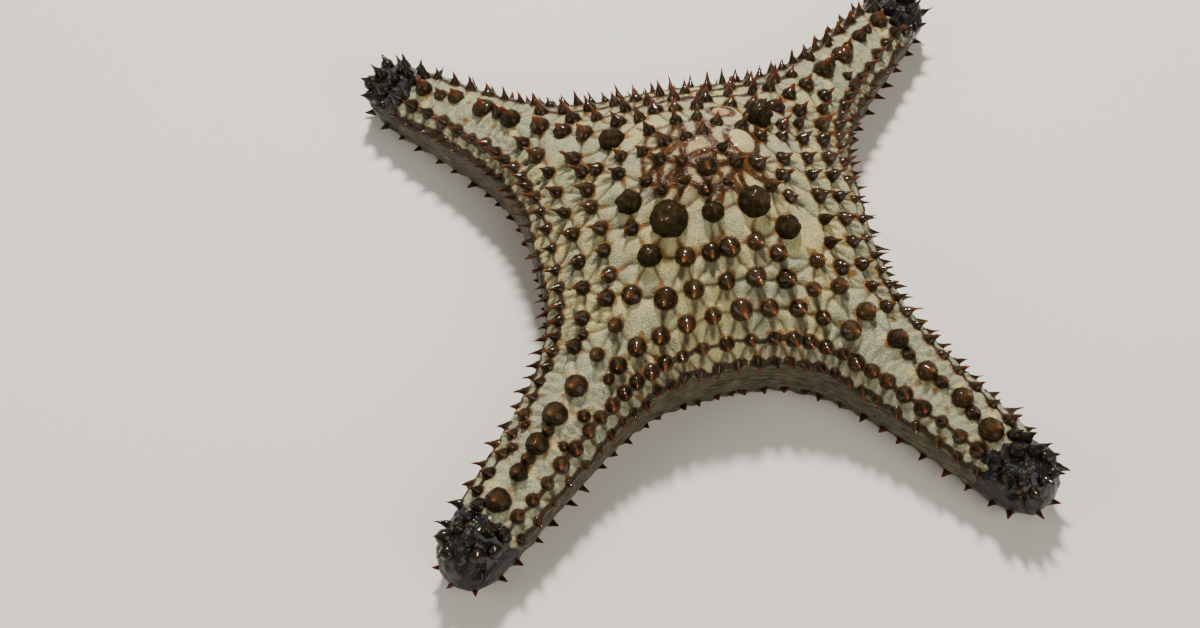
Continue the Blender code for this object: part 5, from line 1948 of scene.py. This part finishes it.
class SEASTAR_OT_stage(bpy.types.Operator):
    """Set the pale floor, the soft studio lights and the camera"""

    bl_idname = "sea_star.stage"
    bl_label = "Stage"

    # Each lamp's place from the star's centre, then its size, power and colour
    LAMPS = {
        "key": ((-0.05, 0.72, 1.05), 0.17, 26.0, (1.0, 0.96, 0.89)),
        "fill": ((0.7, -0.9, 0.8), 1.2, 11.0, (1.0, 0.96, 0.88)),
        "side": ((-1.0, -0.35, 0.6), 0.8, 4.0, (1.0, 0.97, 0.92)),
    }

    def execute(self, context):
        self.floor()
        for name, values in self.LAMPS.items():
            self.light(name, *values)
        world = bpy.data.worlds.new("studio")
        world.use_nodes = True
        background = world.node_tree.nodes["Background"]
        background.inputs["Color"].default_value = (1.0, 0.93, 0.82, 1.0)
        background.inputs["Strength"].default_value = 0.2
        context.scene.world = world
        camera = bpy.data.cameras.new("camera")
        camera.lens = CAMERA_LENS
        camera.sensor_width = 36.0
        camera.clip_start = 0.02
        viewer = linked("camera", camera)
        viewer.location = CENTRE + CAMERA_PLACE
        viewer.rotation_euler = (math.radians(CAMERA_TILT), 0.0, 0.0)
        context.scene.camera = viewer
        return {"FINISHED"}

    def floor(self):
        mesh = bpy.data.meshes.new("floor")
        corners = [(FLOOR_HALF * x, FLOOR_HALF * y, 0) for x, y in ((-1, -1), (1, -1), (1, 1), (-1, 1))]
        mesh.from_pydata(corners, [], [(0, 1, 2, 3)])
        finish = Finish("studio_floor", {"Roughness": 0.7})
        tint = colours().floor
        shade = finish.mix(finish.noise(0.3).over(0.3, 0.7), tint, tuple(0.96 * part for part in tint))
        mesh.materials.append(finish.paint(shade))
        linked("floor", mesh)

    def light(self, name, place, size, power, colour):
        lamp = bpy.data.lights.new(name, "AREA")
        lamp.shape = "DISK"
        lamp.size = size
        lamp.energy = power
        lamp.color = colour
        made = linked(name, lamp)
        made.location = CENTRE + place
        aim = Vector((*CENTRE[:2], 0.03)) - made.location
        made.rotation_euler = aim.to_track_quat("-Z", "Y").to_euler()


OPERATORS = (
    SEASTAR_OT_stage,
    SEASTAR_OT_skin,
    SEASTAR_OT_tubercles,
    SEASTAR_OT_lower_spines,
    SEASTAR_OT_underside,
    SEASTAR_OT_sieve_plate,
    SEASTAR_OT_mouth,
)


class SEASTAR_PT_panel(bpy.types.Panel):
    """Lists the pieces of the sea star"""

    bl_idname = "SEASTAR_PT_panel"
    bl_label = "Cushion Sea Star"
    bl_space_type = "VIEW_3D"
    bl_region_type = "UI"
    bl_category = "Sea Star"

    def draw(self, context):
        for kind in OPERATORS:
            self.layout.operator(kind.bl_idname)
        for settings in (body_settings(), tubercle_settings(), colours()):
            box = self.layout.box()
            for name in settings.bl_rna.properties.keys():
                if name not in ("rna_type", "name"):
                    box.prop(settings, name)


SETTINGS = {
    "sea_star_body": BodySettings,
    "sea_star_tubercles": TubercleSettings,
    "sea_star_colours": ColourSettings,
}
CLASSES = (*SETTINGS.values(), *OPERATORS, SEASTAR_PT_panel)


def register():
    for kind in CLASSES:
        bpy.utils.register_class(kind)
    for name, kind in SETTINGS.items():
        setattr(bpy.types.Scene, name, PointerProperty(type=kind))


def unregister():
    for name in SETTINGS:
        delattr(bpy.types.Scene, name)
    for kind in reversed(CLASSES):
        bpy.utils.unregister_class(kind)


def main():
    register()
    bpy.ops.sea_star.stage()
    bpy.ops.sea_star.skin()
    bpy.ops.sea_star.tubercles()
    bpy.ops.sea_star.lower_spines()
    bpy.ops.sea_star.underside()
    bpy.ops.sea_star.sieve_plate()
    bpy.ops.sea_star.mouth()


if __name__ == "__main__":
    main()
